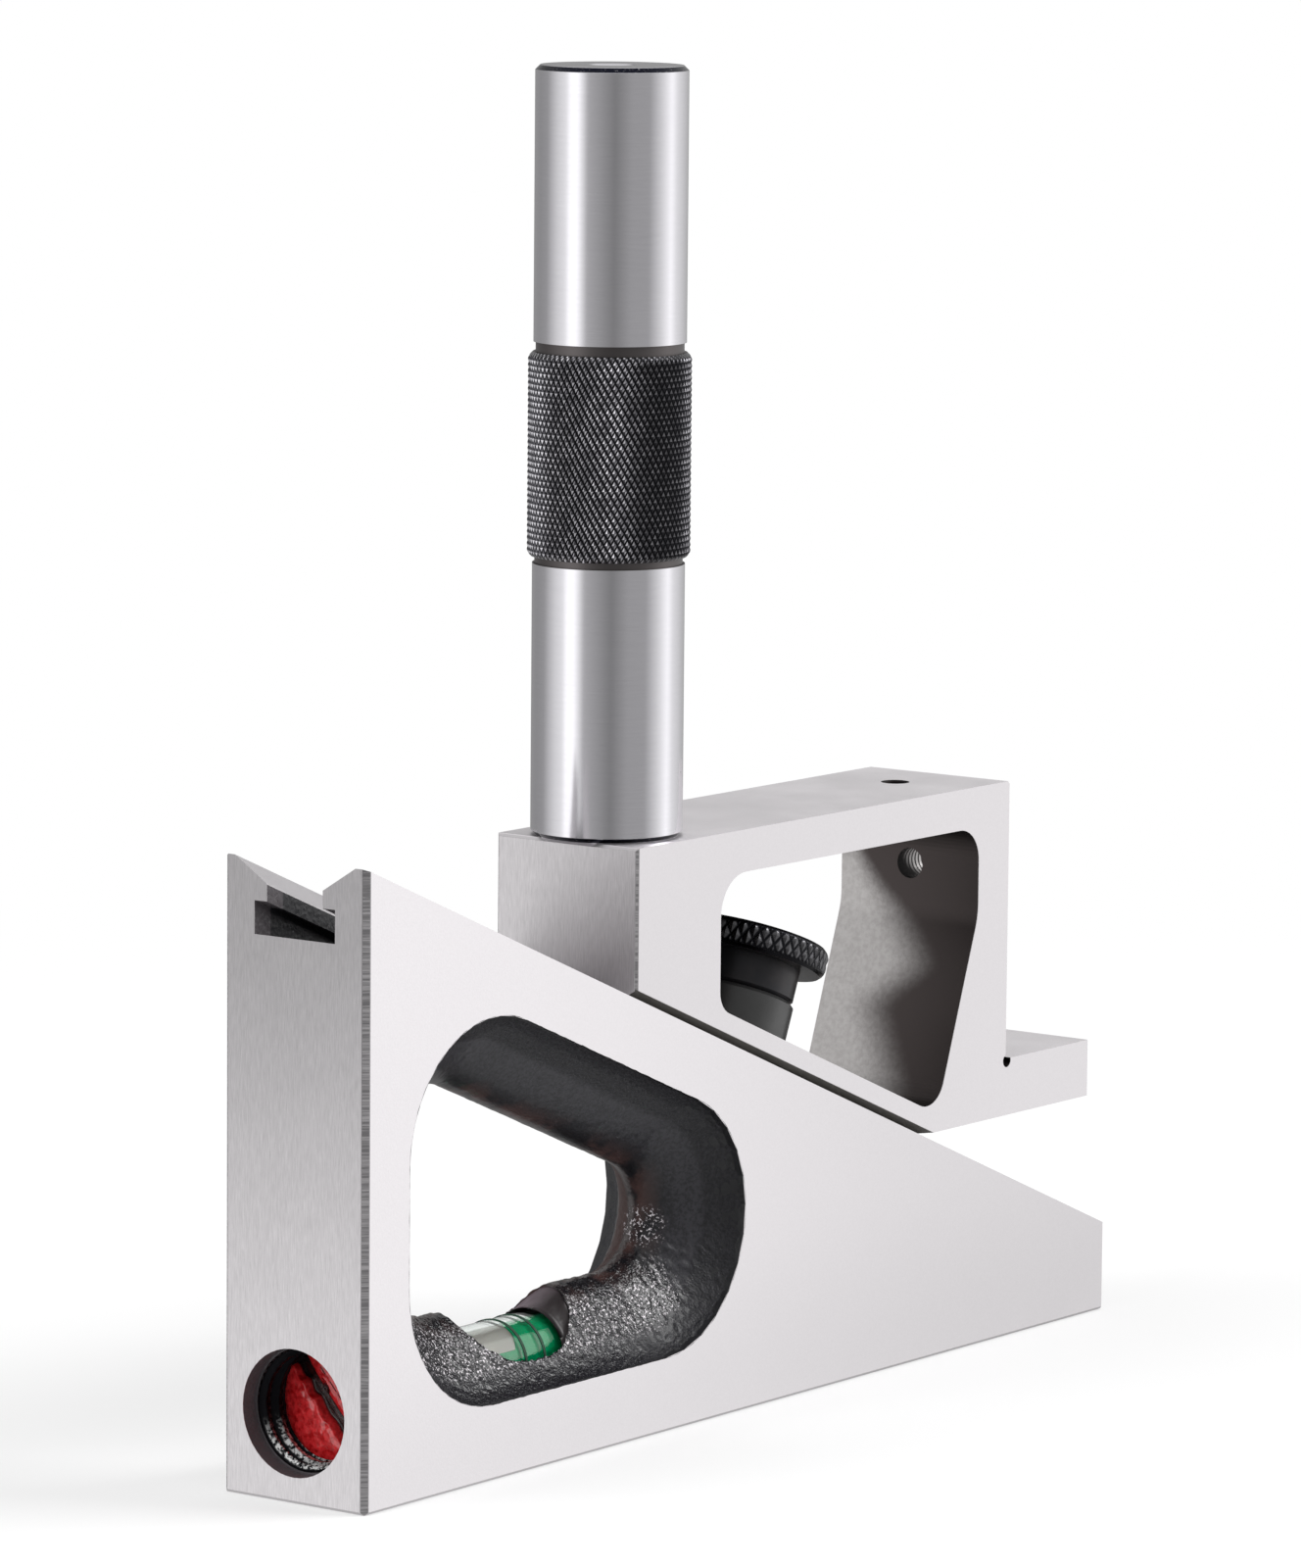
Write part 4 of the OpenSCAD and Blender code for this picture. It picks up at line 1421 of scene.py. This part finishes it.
@dataclass(frozen=True)
class WindowSkin:
    """The enamel on the casting's window: one rough film round the rolled wall."""

    end_wall: float = 6.7 * MM
    foot_wall: float = 7.5 * MM
    top_wall: float = 6.6 * MM
    corner: float = 13.2 * MM
    ridge_in: float = 7.45 * MM
    film: float = 0.06 * MM
    rough: float = 0.04 * MM
    rough_z: Pair = (24.0 * MM, 14.0 * MM)
    seam: float = 0.08 * MM
    seam_w: float = 0.42 * MM
    rim_w: float = 1.1 * MM
    lap: float = 0.04 * MM
    proud: float = 0.006 * MM
    sink: float = 0.3 * MM
    around: int = 640
    across: int = 104
    back_step: int = 6
    hole: SightHole = SightHole()
    hole_z: Pair = (0.4, 2.4)
    hole_columns: int = 240

    def outline(self, layout: Layout) -> tuple[np.ndarray, np.ndarray]:
        """Works out the window's outline as a path of corner centres and outward directions.

        The wall at any inset is the centre path plus the corner radius less the inset, times the
        direction. On a corner the centre stands still and the direction turns; on a straight
        stretch the direction stands still and the centre moves.

        Args:
            layout: Places on the gauge.

        Returns:
            Centres and directions in X and Z, evenly spaced along the outline.
        """
        fall = math.tan(layout.slope)
        drop = (self.top_wall + self.corner) / math.cos(layout.slope)
        left = self.end_wall + self.corner
        low = self.foot_wall + self.corner
        run = (layout.tall_h - low - drop) / fall - left
        centres = np.array([[left, low], [left + run, low], [left, low + run * fall]])
        centres[:, 0] -= layout.half_l
        square_up = 90.0 - math.degrees(layout.slope)
        turns = np.radians([[180.0, 270.0], [-90.0, square_up], [square_up, 180.0]])
        path, angle, length = [], [], []
        for k in range(3):
            for end in (0, 1):
                path.append(centres[k])
                angle.append(turns[k][end] + (TURN if k else 0.0))
            length.append(self.corner * abs(turns[k][1] - turns[k][0]))
            length.append(float(np.linalg.norm(centres[(k + 1) % 3] - centres[k])))
        path.append(centres[0])
        angle.append(turns[0][0] + TURN)
        knots = np.concatenate([[0.0], np.cumsum(length)])
        place = np.arange(self.around) * knots[-1] / self.around
        path, angle = np.array(path), np.array(angle)
        centre = np.stack([np.interp(place, knots, path[:, axis]) for axis in (0, 1)], axis=1)
        turn = np.interp(place, knots, angle)
        return centre, np.stack([np.cos(turn), np.sin(turn)], axis=1)

    def swell(self, width: np.ndarray, half_w: float) -> np.ndarray:
        """Returns how far the wall stands in: a cosine bell, highest at mid width."""
        return self.ridge_in * (1.0 + np.cos(np.pi * width / half_w)) / 2

    def wall(self, layout: Layout, width: np.ndarray) -> tuple[np.ndarray, np.ndarray]:
        """Works out the casting's wall and its normals from the outline and the bell's slope.

        Args:
            layout: Places on the gauge.
            width: Distances from mid width.

        Returns:
            Points and unit normals into the window, round the outline and across the width.
        """
        centre, way = self.outline(layout)
        phase = np.pi * width / layout.half_w
        slope = -self.ridge_in * np.pi / (2 * layout.half_w) * np.sin(phase)
        reach = (self.corner - self.swell(width, layout.half_w))[None, :, None]
        flat = centre[:, None, :] + reach * way[:, None, :]
        shape = flat.shape[:2]
        points = np.stack([flat[..., 0], np.broadcast_to(width, shape), flat[..., 1]], axis=-1)
        steep = np.sqrt(1.0 + slope ** 2)
        normals = np.stack([-way[:, None, 0] / steep, np.broadcast_to(-slope / steep, shape),
                            -way[:, None, 1] / steep], axis=-1)
        return points, normals

    def thickness(self, points: np.ndarray, width: np.ndarray, half_w: float) -> np.ndarray:
        """Works out the film's thickness.

        Lumps and sags from two random fields grow downwards by a smooth step. A ragged mould seam
        stands on them, a bell curve of the width, and all of it thins out to the rims.

        Args:
            points: The wall's points.
            width: Distances from mid width.
            half_w: Half the base's width.

        Returns:
            The thickness at each point.
        """
        lumps = Noise(Seed.FILM_LUMPS, 0.55 * MM, 1.6 * MM).at(points)
        sag = Noise(Seed.FILM_SAG, 2.5 * MM, 9.0 * MM).at(points)
        low = 0.25 + 0.75 * ease(points[..., 2], *self.rough_z)
        thick = self.film + self.rough * low * np.clip(0.9 + lumps + 0.6 * sag, 0.0, 3.5)
        fin = 0.6 + 0.25 * Noise(Seed.SEAM, 2.5 * MM, 9.0 * MM).at(points)
        bell = np.exp(-(width / self.seam_w) ** 2)[None, :]
        thick = thick + self.seam * np.clip(fin, 0.0, 1.2) * bell
        edge = ease(half_w - np.abs(width), 0.0, self.rim_w)[None, :]
        return self.proud + (thick - self.proud) * edge

    def rim(self, edge: np.ndarray, normals: np.ndarray, ragged: Noise) -> list[np.ndarray]:
        """Works out the film's lap over one rim.

        Args:
            edge: The wall's points at the rim.
            normals: The wall's normals there.
            ragged: The field that makes the lap's edge ragged.

        Returns:
            The rows of points at the crown, over the face and under it.
        """
        away = -normals * [1.0, 0.0, 1.0]
        away /= np.linalg.norm(away, axis=1, keepdims=True)
        reach = (self.lap * np.clip(0.55 + 0.5 * ragged.at(edge), 0.05, 1.6))[:, None]
        rise = np.array([0.0, math.copysign(self.proud, edge[0, 1]), 0.0])
        return [edge + rise, edge + away * reach + rise, edge + away * (reach * 0.9) - rise]

    def build(self, layout: Layout) -> bpy.types.Object:
        """Builds the film with its mould seam and cuts the level's sight hole from it.

        Args:
            layout: Places on the gauge.

        Returns:
            The film, closed by a wall inside the casting.
        """
        width = layout.half_w * np.linspace(-1.0, 1.0, self.across)
        points, normals = self.wall(layout, width)
        film = points + normals * self.thickness(points, width, layout.half_w)[..., None]
        film[..., 1] = np.clip(film[..., 1], -layout.half_w, layout.half_w)
        ragged = Noise(Seed.RIM, 0.7 * MM, 3.0 * MM)
        near, far = (self.rim(points[:, side], normals[:, side], ragged) for side in (0, -1))
        back = points - normals * self.sink
        hidden = back[:, 1:-1, :][:, ::-1, :][:, ::self.back_step, :]
        first = [row[:, None, :] for row in near[::-1]]
        last = [row[:, None, :] for row in far]
        grid = np.concatenate(first + [film] + last + [hidden], axis=1)
        piece = grid_piece("window_enamel", grid, loop_u=True, loop_v=True)
        self.cut(piece, layout)
        return piece

    def cut(self, piece: bpy.types.Object, layout: Layout) -> None:
        """Cuts the sight hole with an upright prism on the oval, whose edge is slightly ragged.

        Args:
            piece: The film.
            layout: Places on the gauge.
        """
        x, y = self.hole.oval(round_turn(self.hole_columns))
        rim = np.stack([x, y, np.zeros_like(x)], axis=-1)
        rim *= 1.0 + 0.006 * Noise(Seed.SIGHT_RIM, 0.9 * MM, 3.0 * MM).at(rim)[:, None]
        share = np.array([0.0, 1.0, 1.0, 0.0])
        height = np.repeat(self.hole_z, 2) * self.foot_wall
        points = rim[:, None, :] * share[None, :, None]
        points[..., 0] += self.hole.centre_x - layout.half_l
        points[..., 2] += height[None, :]
        cutter = grid_piece("sight_cutter", points, loop_u=True)
        change = piece.modifiers.new("sight", "BOOLEAN")
        change.object = cutter
        change.operation = "DIFFERENCE"
        change.solver = "EXACT"
        apply_all(piece)
        bpy.data.objects.remove(cutter)


def apply_all(piece: bpy.types.Object) -> None:
    """Applies an object's modifiers and leaves none on it."""
    shape = piece.evaluated_get(bpy.context.evaluated_depsgraph_get())
    mesh = bpy.data.meshes.new_from_object(shape)
    old = piece.data
    piece.modifiers.clear()
    piece.data = mesh
    bpy.data.meshes.remove(old)
    mesh.polygons.foreach_set("use_smooth", np.ones(len(mesh.polygons), bool))


@dataclass(frozen=True)
class SightWall:
    """The sloping end of the sight hole: it closes in from the hole's rim to the level's bore."""

    edge_x: float = 36.7 * MM
    edge_r: float = 4.45 * MM
    swing: float = math.radians(66.0)
    spread: float = math.radians(14.0)
    sag: float = 0.35 * MM
    rim_drop: float = 0.05 * MM
    lumps: float = 0.05 * MM
    deep: Pair = (0.12 * MM, 0.7 * MM)
    under: Triple = (0.3 * MM, 0.0, -1.2 * MM)
    columns: int = 90
    rows: int = 14

    def build(self, layout: Layout, skin: WindowSkin) -> bpy.types.Object:
        """Builds the wall.

        Each column runs straight from a point of the oval rim, at the cast wall's height, to a
        point of the bore's edge, less a half sine of sag; two more rows lie inside the casting.

        Args:
            layout: Places on the gauge.
            skin: The window's sizes.

        Returns:
            The wall, closed at its back and ends.
        """
        share = np.linspace(0.0, 1.0, self.columns)
        x, y = skin.hole.oval(self.swing * (1.0 - 2.0 * share))
        height = skin.foot_wall + skin.swell(y, layout.half_w) - self.rim_drop
        rim = np.stack([x + skin.hole.centre_x - layout.half_l, y, height], axis=-1)
        bore = layout.bore_axis
        around = self.spread + (math.pi - 2 * self.spread) * share
        edge = bore.points(self.edge_r, around, self.edge_x)
        down = np.linspace(0.0, 1.0, self.rows)[None, :, None]
        face = rim[:, None, :] * (1.0 - down) + edge[:, None, :] * down
        face[..., 2] -= self.sag * np.sin(np.pi * down[..., 0])
        noise = Noise(Seed.SIGHT_WALL, 0.8 * MM, 3.0 * MM).at(face)
        face[:, 1:-1, 0] += self.lumps * noise[:, 1:-1]
        out, along = self.deep
        deep = bore.points(self.edge_r + out, around, self.edge_x + along)
        grid = np.concatenate([face, deep[:, None, :], (rim + self.under)[:, None, :]], axis=1)
        ends = [np.broadcast_to(grid[k].mean(axis=0), grid[k].shape)[None] for k in (0, -1)]
        grid = np.concatenate([ends[0], grid, ends[1]], axis=0)
        return grid_piece("sight_wall", grid, loop_v=True)


@dataclass(frozen=True)
class LacquerPlug:
    """The plug that closes the level bore, with lumpy lacquer over its face and slot."""

    face: float = 5.8 * MM
    length: float = 3.4 * MM
    radius: float = 5.96 * MM
    slot_w: float = 2.3 * MM
    slot_d: float = 1.3 * MM
    slot_turn: float = math.radians(138.0)
    slot_off: float = -0.6 * MM
    slot_edge: Pair = (-0.14 * MM, 0.1 * MM)
    ragged: float = 0.12 * MM
    beside: float = 0.12 * MM
    dome: float = 0.35 * MM
    lump: float = 0.03 * MM
    proudest: float = 0.02 * MM
    crowding: float = 14.0
    columns: int = 180
    rows: int = 120

    def build(self, axis: Axis) -> bpy.types.Object:
        """Builds the plug.

        Columns run across the slot and crowd at its walls; rows run along it out to the rim. The
        depth is the slot's, with rounded edges, plus a dome that falls towards the rim and lumps.

        Args:
            axis: The bore's axis.

        Returns:
            The plug, closed by a flat back.
        """
        t = np.linspace(-1.0, 1.0, self.columns)
        half = self.slot_w / 2 / self.radius
        crowd = t - 0.5 * half * np.tanh((np.abs(t) - half) * self.crowding) * np.sign(t)
        across = self.radius * np.clip(crowd / crowd[-1], -1.0, 1.0)
        chord = np.sqrt(np.maximum(self.radius ** 2 - across ** 2, 0.0))
        a = np.broadcast_to(across[:, None], (self.columns, self.rows))
        b = chord[:, None] * np.linspace(-1.0, 1.0, self.rows)[None, :]
        flat = np.stack([a, b, np.zeros_like(a)], axis=-1)
        lumps = Noise(Seed.LACQUER, 0.7 * MM, 3.0 * MM).at(flat)
        ragged = Noise(Seed.SLOT_WALL, 1.5 * MM, 5.0 * MM).at(flat)
        off = np.abs(a - self.slot_off)
        slot = 1.0 - ease(off - (self.slot_w / 2 + self.ragged * ragged), *self.slot_edge)
        ring = np.hypot(a, b) / self.radius
        depth = (self.slot_d * slot + self.dome * ring ** 3 + self.lump * lumps * (1 - slot)
                 - self.beside * ease(off, self.slot_w / 2, self.slot_w))
        front = self.place(axis, a, b, self.face + np.maximum(depth, -self.proudest))
        back = self.place(axis, a, b, np.full_like(a, self.face + self.length))
        grid = np.concatenate([front, back[:, ::-1, :]], axis=1)
        return grid_piece("lacquered_plug", grid, loop_v=True)

    def place(self, axis: Axis, across: np.ndarray, along: np.ndarray,
              depth: np.ndarray) -> np.ndarray:
        """Turns places on the plug's face into points.

        Args:
            axis: The bore's axis.
            across: Distances across the slot.
            along: Distances along the slot.
            depth: Depths from the bore's mouth.

        Returns:
            The points.
        """
        c, s = math.cos(self.slot_turn), math.sin(self.slot_turn)
        side = across * c - along * s
        up = across * s + along * c
        return (axis.start + depth[..., None] * axis.along + side[..., None] * axis.side
                + up[..., None] * axis.third)


@dataclass(frozen=True)
class Assembly:
    """A sub-assembly of the gauge, with what all its pieces share."""

    layout: Layout
    effects: Effects

    def build(self) -> None:
        """Builds and dresses the sub-assembly's pieces."""
        raise NotImplementedError

    def dress(self, finish: Finish, *nodes: str) -> None:
        """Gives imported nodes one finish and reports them."""
        material = finish.build(self.effects, self.layout)
        for node in nodes:
            paint(frame["nodes"][node], material)
            LOG.info("%s: %s", node, finish.name)

    def settle(self, piece: bpy.types.Object, finish: Finish, body: str, slot: str) -> None:
        """Paints a new piece, lets it ride on a body and reports it.

        Args:
            piece: The piece.
            finish: Its finish.
            body: The body that carries it.
            slot: The record's material slot; not used.
        """
        paint(piece, finish.build(self.effects, self.layout))
        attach(piece, body)
        LOG.info("%s: %d faces on %s", piece.name, len(piece.data.polygons), body)


@dataclass(frozen=True)
class Base(Assembly):
    """The base: its ground casting, the window's enamel and the level with its plug."""

    bore_height: float = 8.8 * MM
    bare_and_lit_below: float = 1.2 * MM
    skin: WindowSkin = WindowSkin()
    slope: SightWall = SightWall()
    screw: BoreThread = BoreThread()
    plug: LacquerPlug = LacquerPlug()

    def build(self) -> None:
        """Builds and dresses the base's pieces."""
        self.dress(GroundIron("ground_iron"), "base_body")
        self.settle(self.skin.build(self.layout), CastEnamel("window_enamel"), "base",
                    "ground_iron")
        self.settle(self.slope.build(self.layout, self.skin), OilyCut("oily_cut"), "base",
                    "ground_iron")
        self.mouth()
        self.level()

    def mouth(self) -> None:
        """Adds the thread in the bore's mouth and replaces the plug by its lacquered one."""
        axis = self.layout.bore_axis
        # the bright specks stand below this height: wear, and painted highlights on the lower turns
        low_z = (self.bore_height - self.bare_and_lit_below) / MM
        finish = ThreadBlack.on("thread_paint", axis, self.screw.root, self.screw.crest,
                                low_z=low_z)
        self.settle(self.screw.build(axis), finish, "base", "ground_iron")
        face = (axis.start[0] + self.plug.face) / MM
        finish = Lacquer("red_lacquer", face=face, slot_d=self.plug.slot_d / MM)
        piece = self.plug.build(axis)
        self.settle(piece, finish, "base", "red_lacquer")
        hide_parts("plug_screw")

    def level(self) -> None:
        """Dresses the level's own pieces."""
        self.dress(SoftMatt("rubber", base=grey(0.03), shade=grey(0.015)), "vial_cup")
        self.dress(ClearGlass("glass"), "vial_tube")
        self.dress(ClearGlass("spirit", tint=(0.0, 0.6, 0.24, 1.0), index=1.4, clear=0.35),
                   "vial_liquid")
        # painted reflection: the bubble's air is given a pale, partly opaque colour
        self.dress(ClearGlass("air", tint=(0.86, 0.78, 0.76, 1.0), index=1.05, clear=0.45),
                   "vial_bubble")
        self.dress(SoftMatt("index_ink", base=(0.01, 0.07, 0.04, 1.0),
                            shade=(0.01, 0.04, 0.02, 1.0)), "vial_index_lines")
        self.dress(SoftMatt("putty", base=grey(0.6), shade=grey(0.45), rough=0.8), "vial_bed")


@dataclass(frozen=True)
class Slide(Assembly):
    """The slide, with the clamp in its window and the knurl round the clamp's knob."""

    grip: Knurl = Knurl("knob_knurl", foot=10.821 * MM, length=2.8 * MM, root=8.3 * MM,
                        tip=8.5 * MM, around=46, tall=1.99 * MM, foot_bevel=0.3 * MM,
                        top_bevel=0.3 * MM, steps=(8, 14), fade=0.25 * MM)

    def build(self) -> None:
        """Builds and dresses the slide's pieces."""
        self.dress(GroundSteel("ground_steel"), "slide_body")
        self.dress(OxideSteel("oxide_steel"), "clamp_knob", "clamp_stud", "t_nut", "rod_stud")
        # painted light: a lighter copy of the blackened steel for the collar
        self.dress(OxideSteel("lit_oxide", black=grey(0.06), brown=grey(0.075), rough=0.3),
                   "clamp_collar")
        axis = self.layout.knob_axis
        finish = WornBlack.on("knob_knurl", axis, self.grip.root, self.grip.tip, wear=0.25)
        self.settle(self.grip.build(axis), finish, "knob", "oxide_steel")


@dataclass(frozen=True)
class Rod(Assembly):
    """The extension rod with its knurled grip."""

    grip: Knurl = Knurl("rod_knurl", foot=27.8 * MM, length=20.2 * MM, root=7.9 * MM,
                        tip=8.1 * MM, around=75, tall=1.18 * MM, foot_bevel=0.18 * MM,
                        top_bevel=0.27 * MM)

    def build(self) -> None:
        """Builds and dresses the rod's pieces."""
        self.dress(TurnedSteel("turned_steel"), "extension_rod")
        axis = self.layout.rod_axis
        finish = KnurlFacets.on("rod_knurl", axis, self.grip.root, self.grip.tip,
                                around=self.grip.around, tall=self.grip.tall / MM,
                                foot=self.grip.foot / MM)
        self.settle(self.grip.build(axis), finish, "rod", "turned_steel")


@dataclass(frozen=True)
class Viewpoint:
    """The photograph's camera."""

    lens: float = 182.518
    film: float = 36.0
    azimuth: float = math.radians(-53.433)
    elevation: float = math.radians(7.743)
    roll: float = math.radians(0.4956)
    target: Triple = (0.0, 0.0, 50.0 * MM)
    offset: Triple = (4.177 * MM, 12.664 * MM, 803.011 * MM)

    def build(self) -> None:
        """Places the camera: its rows are right, down and forward, turned by the roll."""
        turn, lift = self.azimuth, self.elevation
        right = Vector((math.cos(turn), math.sin(turn), 0.0))
        back = Vector((math.sin(turn) * math.cos(lift), -math.cos(turn) * math.cos(lift),
                       math.sin(lift)))
        up = back.cross(right)
        c, s = math.cos(self.roll), math.sin(self.roll)
        across = c * right + s * up
        down = s * right - c * up
        x, y, far = self.offset
        data = bpy.data.cameras.new("view")
        data.lens = self.lens
        data.sensor_width = self.film
        data.clip_start = 0.05
        camera = bpy.data.objects.new("view", data)
        place = Matrix((across, -down, back)).transposed().to_4x4()
        place.translation = Vector(self.target) - (x * across + y * down - far * back)
        camera.matrix_world = place
        bpy.context.scene.collection.objects.link(camera)
        bpy.context.scene.camera = camera


class Lamp(Enum):
    """The lamps: place in metres, size in metres and power in watts."""

    KEY = ((0.75, -0.95, 1.05), 0.8, 16.0)
    FILL = ((-1.1, 0.35, 0.9), 0.9, 9.0)


@dataclass(frozen=True)
class Studio:
    """A pale floor, soft lamps and the bright and dark cards that ground metal shows."""

    facing: float = math.radians(-143.43)
    ambient: float = 0.62
    below: float = 0.62
    above: float = 0.85
    horizon: Pair = (0.35, 0.85)
    aim: Triple = (0.0, 0.0, 0.05)
    floor_r: float = 1.4
    floor_z: float = -0.05 * MM
    floor_steps: tuple[int, int] = (96, 12)
    shadow_r: Pair = (0.34, 0.1)
    shadow: float = 0.55
    cards: tuple[Pair, ...] = (  # turn from the camera as a share, level
        (-1.0, 0.34), (-0.74, 0.36), (-0.62, 0.42), (-0.48, 0.92), (-0.40, 1.12), (-0.36, 1.60),
        (-0.29, 1.62), (-0.20, 0.56), (0.03, 0.28), (0.17, 0.45), (0.33, 0.46), (0.46, 0.95),
        (0.57, 1.48), (0.65, 1.04), (0.82, 0.66), (1.0, 0.34))

    def build(self) -> None:
        """Builds the world, the lamps and the floor."""
        self.world()
        for lamp in Lamp:
            self.lamp(lamp)
        self.floor()
        bpy.context.scene.view_settings.view_transform = "Standard"

    def ring(self, graph: Graph, way: Socket) -> Socket:
        """Adds the cards: a ramp round the horizon, and one level each below and above.

        Args:
            graph: The world's graph.
            way: The direction looked in, turned so that a turn of zero points to the camera.

        Returns:
            The colour.
        """
        x, y, z = graph.parts(way)
        place = graph.line(graph.math("ARCTAN2", y, x), 1 / TURN, 0.5)
        ramp = graph.add("ShaderNodeValToRGB", {0: place})
        stops = ramp.color_ramp.elements
        for share, level in self.cards[1:-1]:
            stops.new(0.5 + share / 2).color = grey(level)
        stops[0].color = grey(self.cards[0][1])
        stops[-1].color = grey(self.cards[-1][1])
        low, high = self.horizon
        cards = graph.blend(graph.fade(z, -low, -high), ramp.outputs[0], grey(self.below))
        return graph.blend(graph.fade(z, low, high), cards, grey(self.above))

    def world(self) -> None:
        """Builds the world: white to the camera and through glass, cards in gloss, grey else."""
        world = bpy.data.worlds.new("studio")
        graph = empty_graph(world)
        way = graph.add("ShaderNodeTexCoord").outputs["Generated"]
        turned = graph.add("ShaderNodeVectorRotate", {"Vector": way, "Angle": -self.facing},
                           rotation_type="Z_AXIS").outputs[0]
        ray = graph.add("ShaderNodeLightPath").outputs
        seen = graph.most(ray["Is Camera Ray"], ray["Is Transmission Ray"])
        colour = graph.blend(ray["Is Glossy Ray"], grey(self.ambient), self.ring(graph, turned))
        colour = graph.blend(seen, colour, grey(1.0))
        light = graph.add("ShaderNodeBackground", {"Color": colour, "Strength": 1.0})
        graph.add("ShaderNodeOutputWorld", {"Surface": light.outputs[0]})
        bpy.context.scene.world = world

    def lamp(self, lamp: Lamp) -> None:
        """Adds one square lamp that faces the gauge and isn't itself seen."""
        place, size, power = lamp.value
        data = bpy.data.lights.new(lamp.name.lower(), "AREA")
        data.size = size
        data.energy = power
        light = bpy.data.objects.new(lamp.name.lower(), data)
        light.location = place
        way = Vector(self.aim) - Vector(place)
        light.rotation_euler = way.to_track_quat("-Z", "Y").to_euler()
        light.visible_camera = False
        light.visible_glossy = lamp is Lamp.KEY
        bpy.context.scene.collection.objects.link(light)

    def floor(self) -> None:
        """Adds the floor: pale, and white to the camera but for the gauge's shadow."""
        around, out = self.floor_steps
        radius = np.linspace(0.0, self.floor_r, out)
        points = Axis((0, 0, self.floor_z), (0, 0, 1), (1, 0, 0)).points(
            radius[None, :], round_turn(around)[:, None], np.zeros((1, 1)))
        floor = grid_piece("floor", points, loop_u=True)
        material = bpy.data.materials.new("floor")
        graph = empty_graph(material)
        where = graph.add("ShaderNodeTexCoord").outputs["Object"]
        near = graph.fade(graph.length(where), *self.shadow_r)
        seen = graph.add("ShaderNodeLightPath").outputs["Is Camera Ray"]
        plain = graph.times(seen, graph.line(near, -self.shadow, 1.0))
        lit = graph.add("ShaderNodeBsdfDiffuse", {"Color": grey(0.9)}).outputs[0]
        white = graph.add("ShaderNodeEmission", {"Color": grey(1.0)}).outputs[0]
        both = graph.add("ShaderNodeMixShader", {0: plain, 1: lit, 2: white}).outputs[0]
        graph.add("ShaderNodeOutputMaterial", {"Surface": both})
        paint(floor, material)
        floor.visible_glossy = False


def main() -> None:
    """Builds the view, the studio and the gauge's three sub-assemblies in order."""
    logging.basicConfig(level=logging.INFO, format="%(name)s %(message)s")
    Viewpoint().build()
    Studio().build()
    layout = Layout.read(Base.bore_height)
    effects = Effects()
    for kind in (Base, Slide, Rod):
        kind(layout, effects).build()


if __name__ == "__main__":
    main()
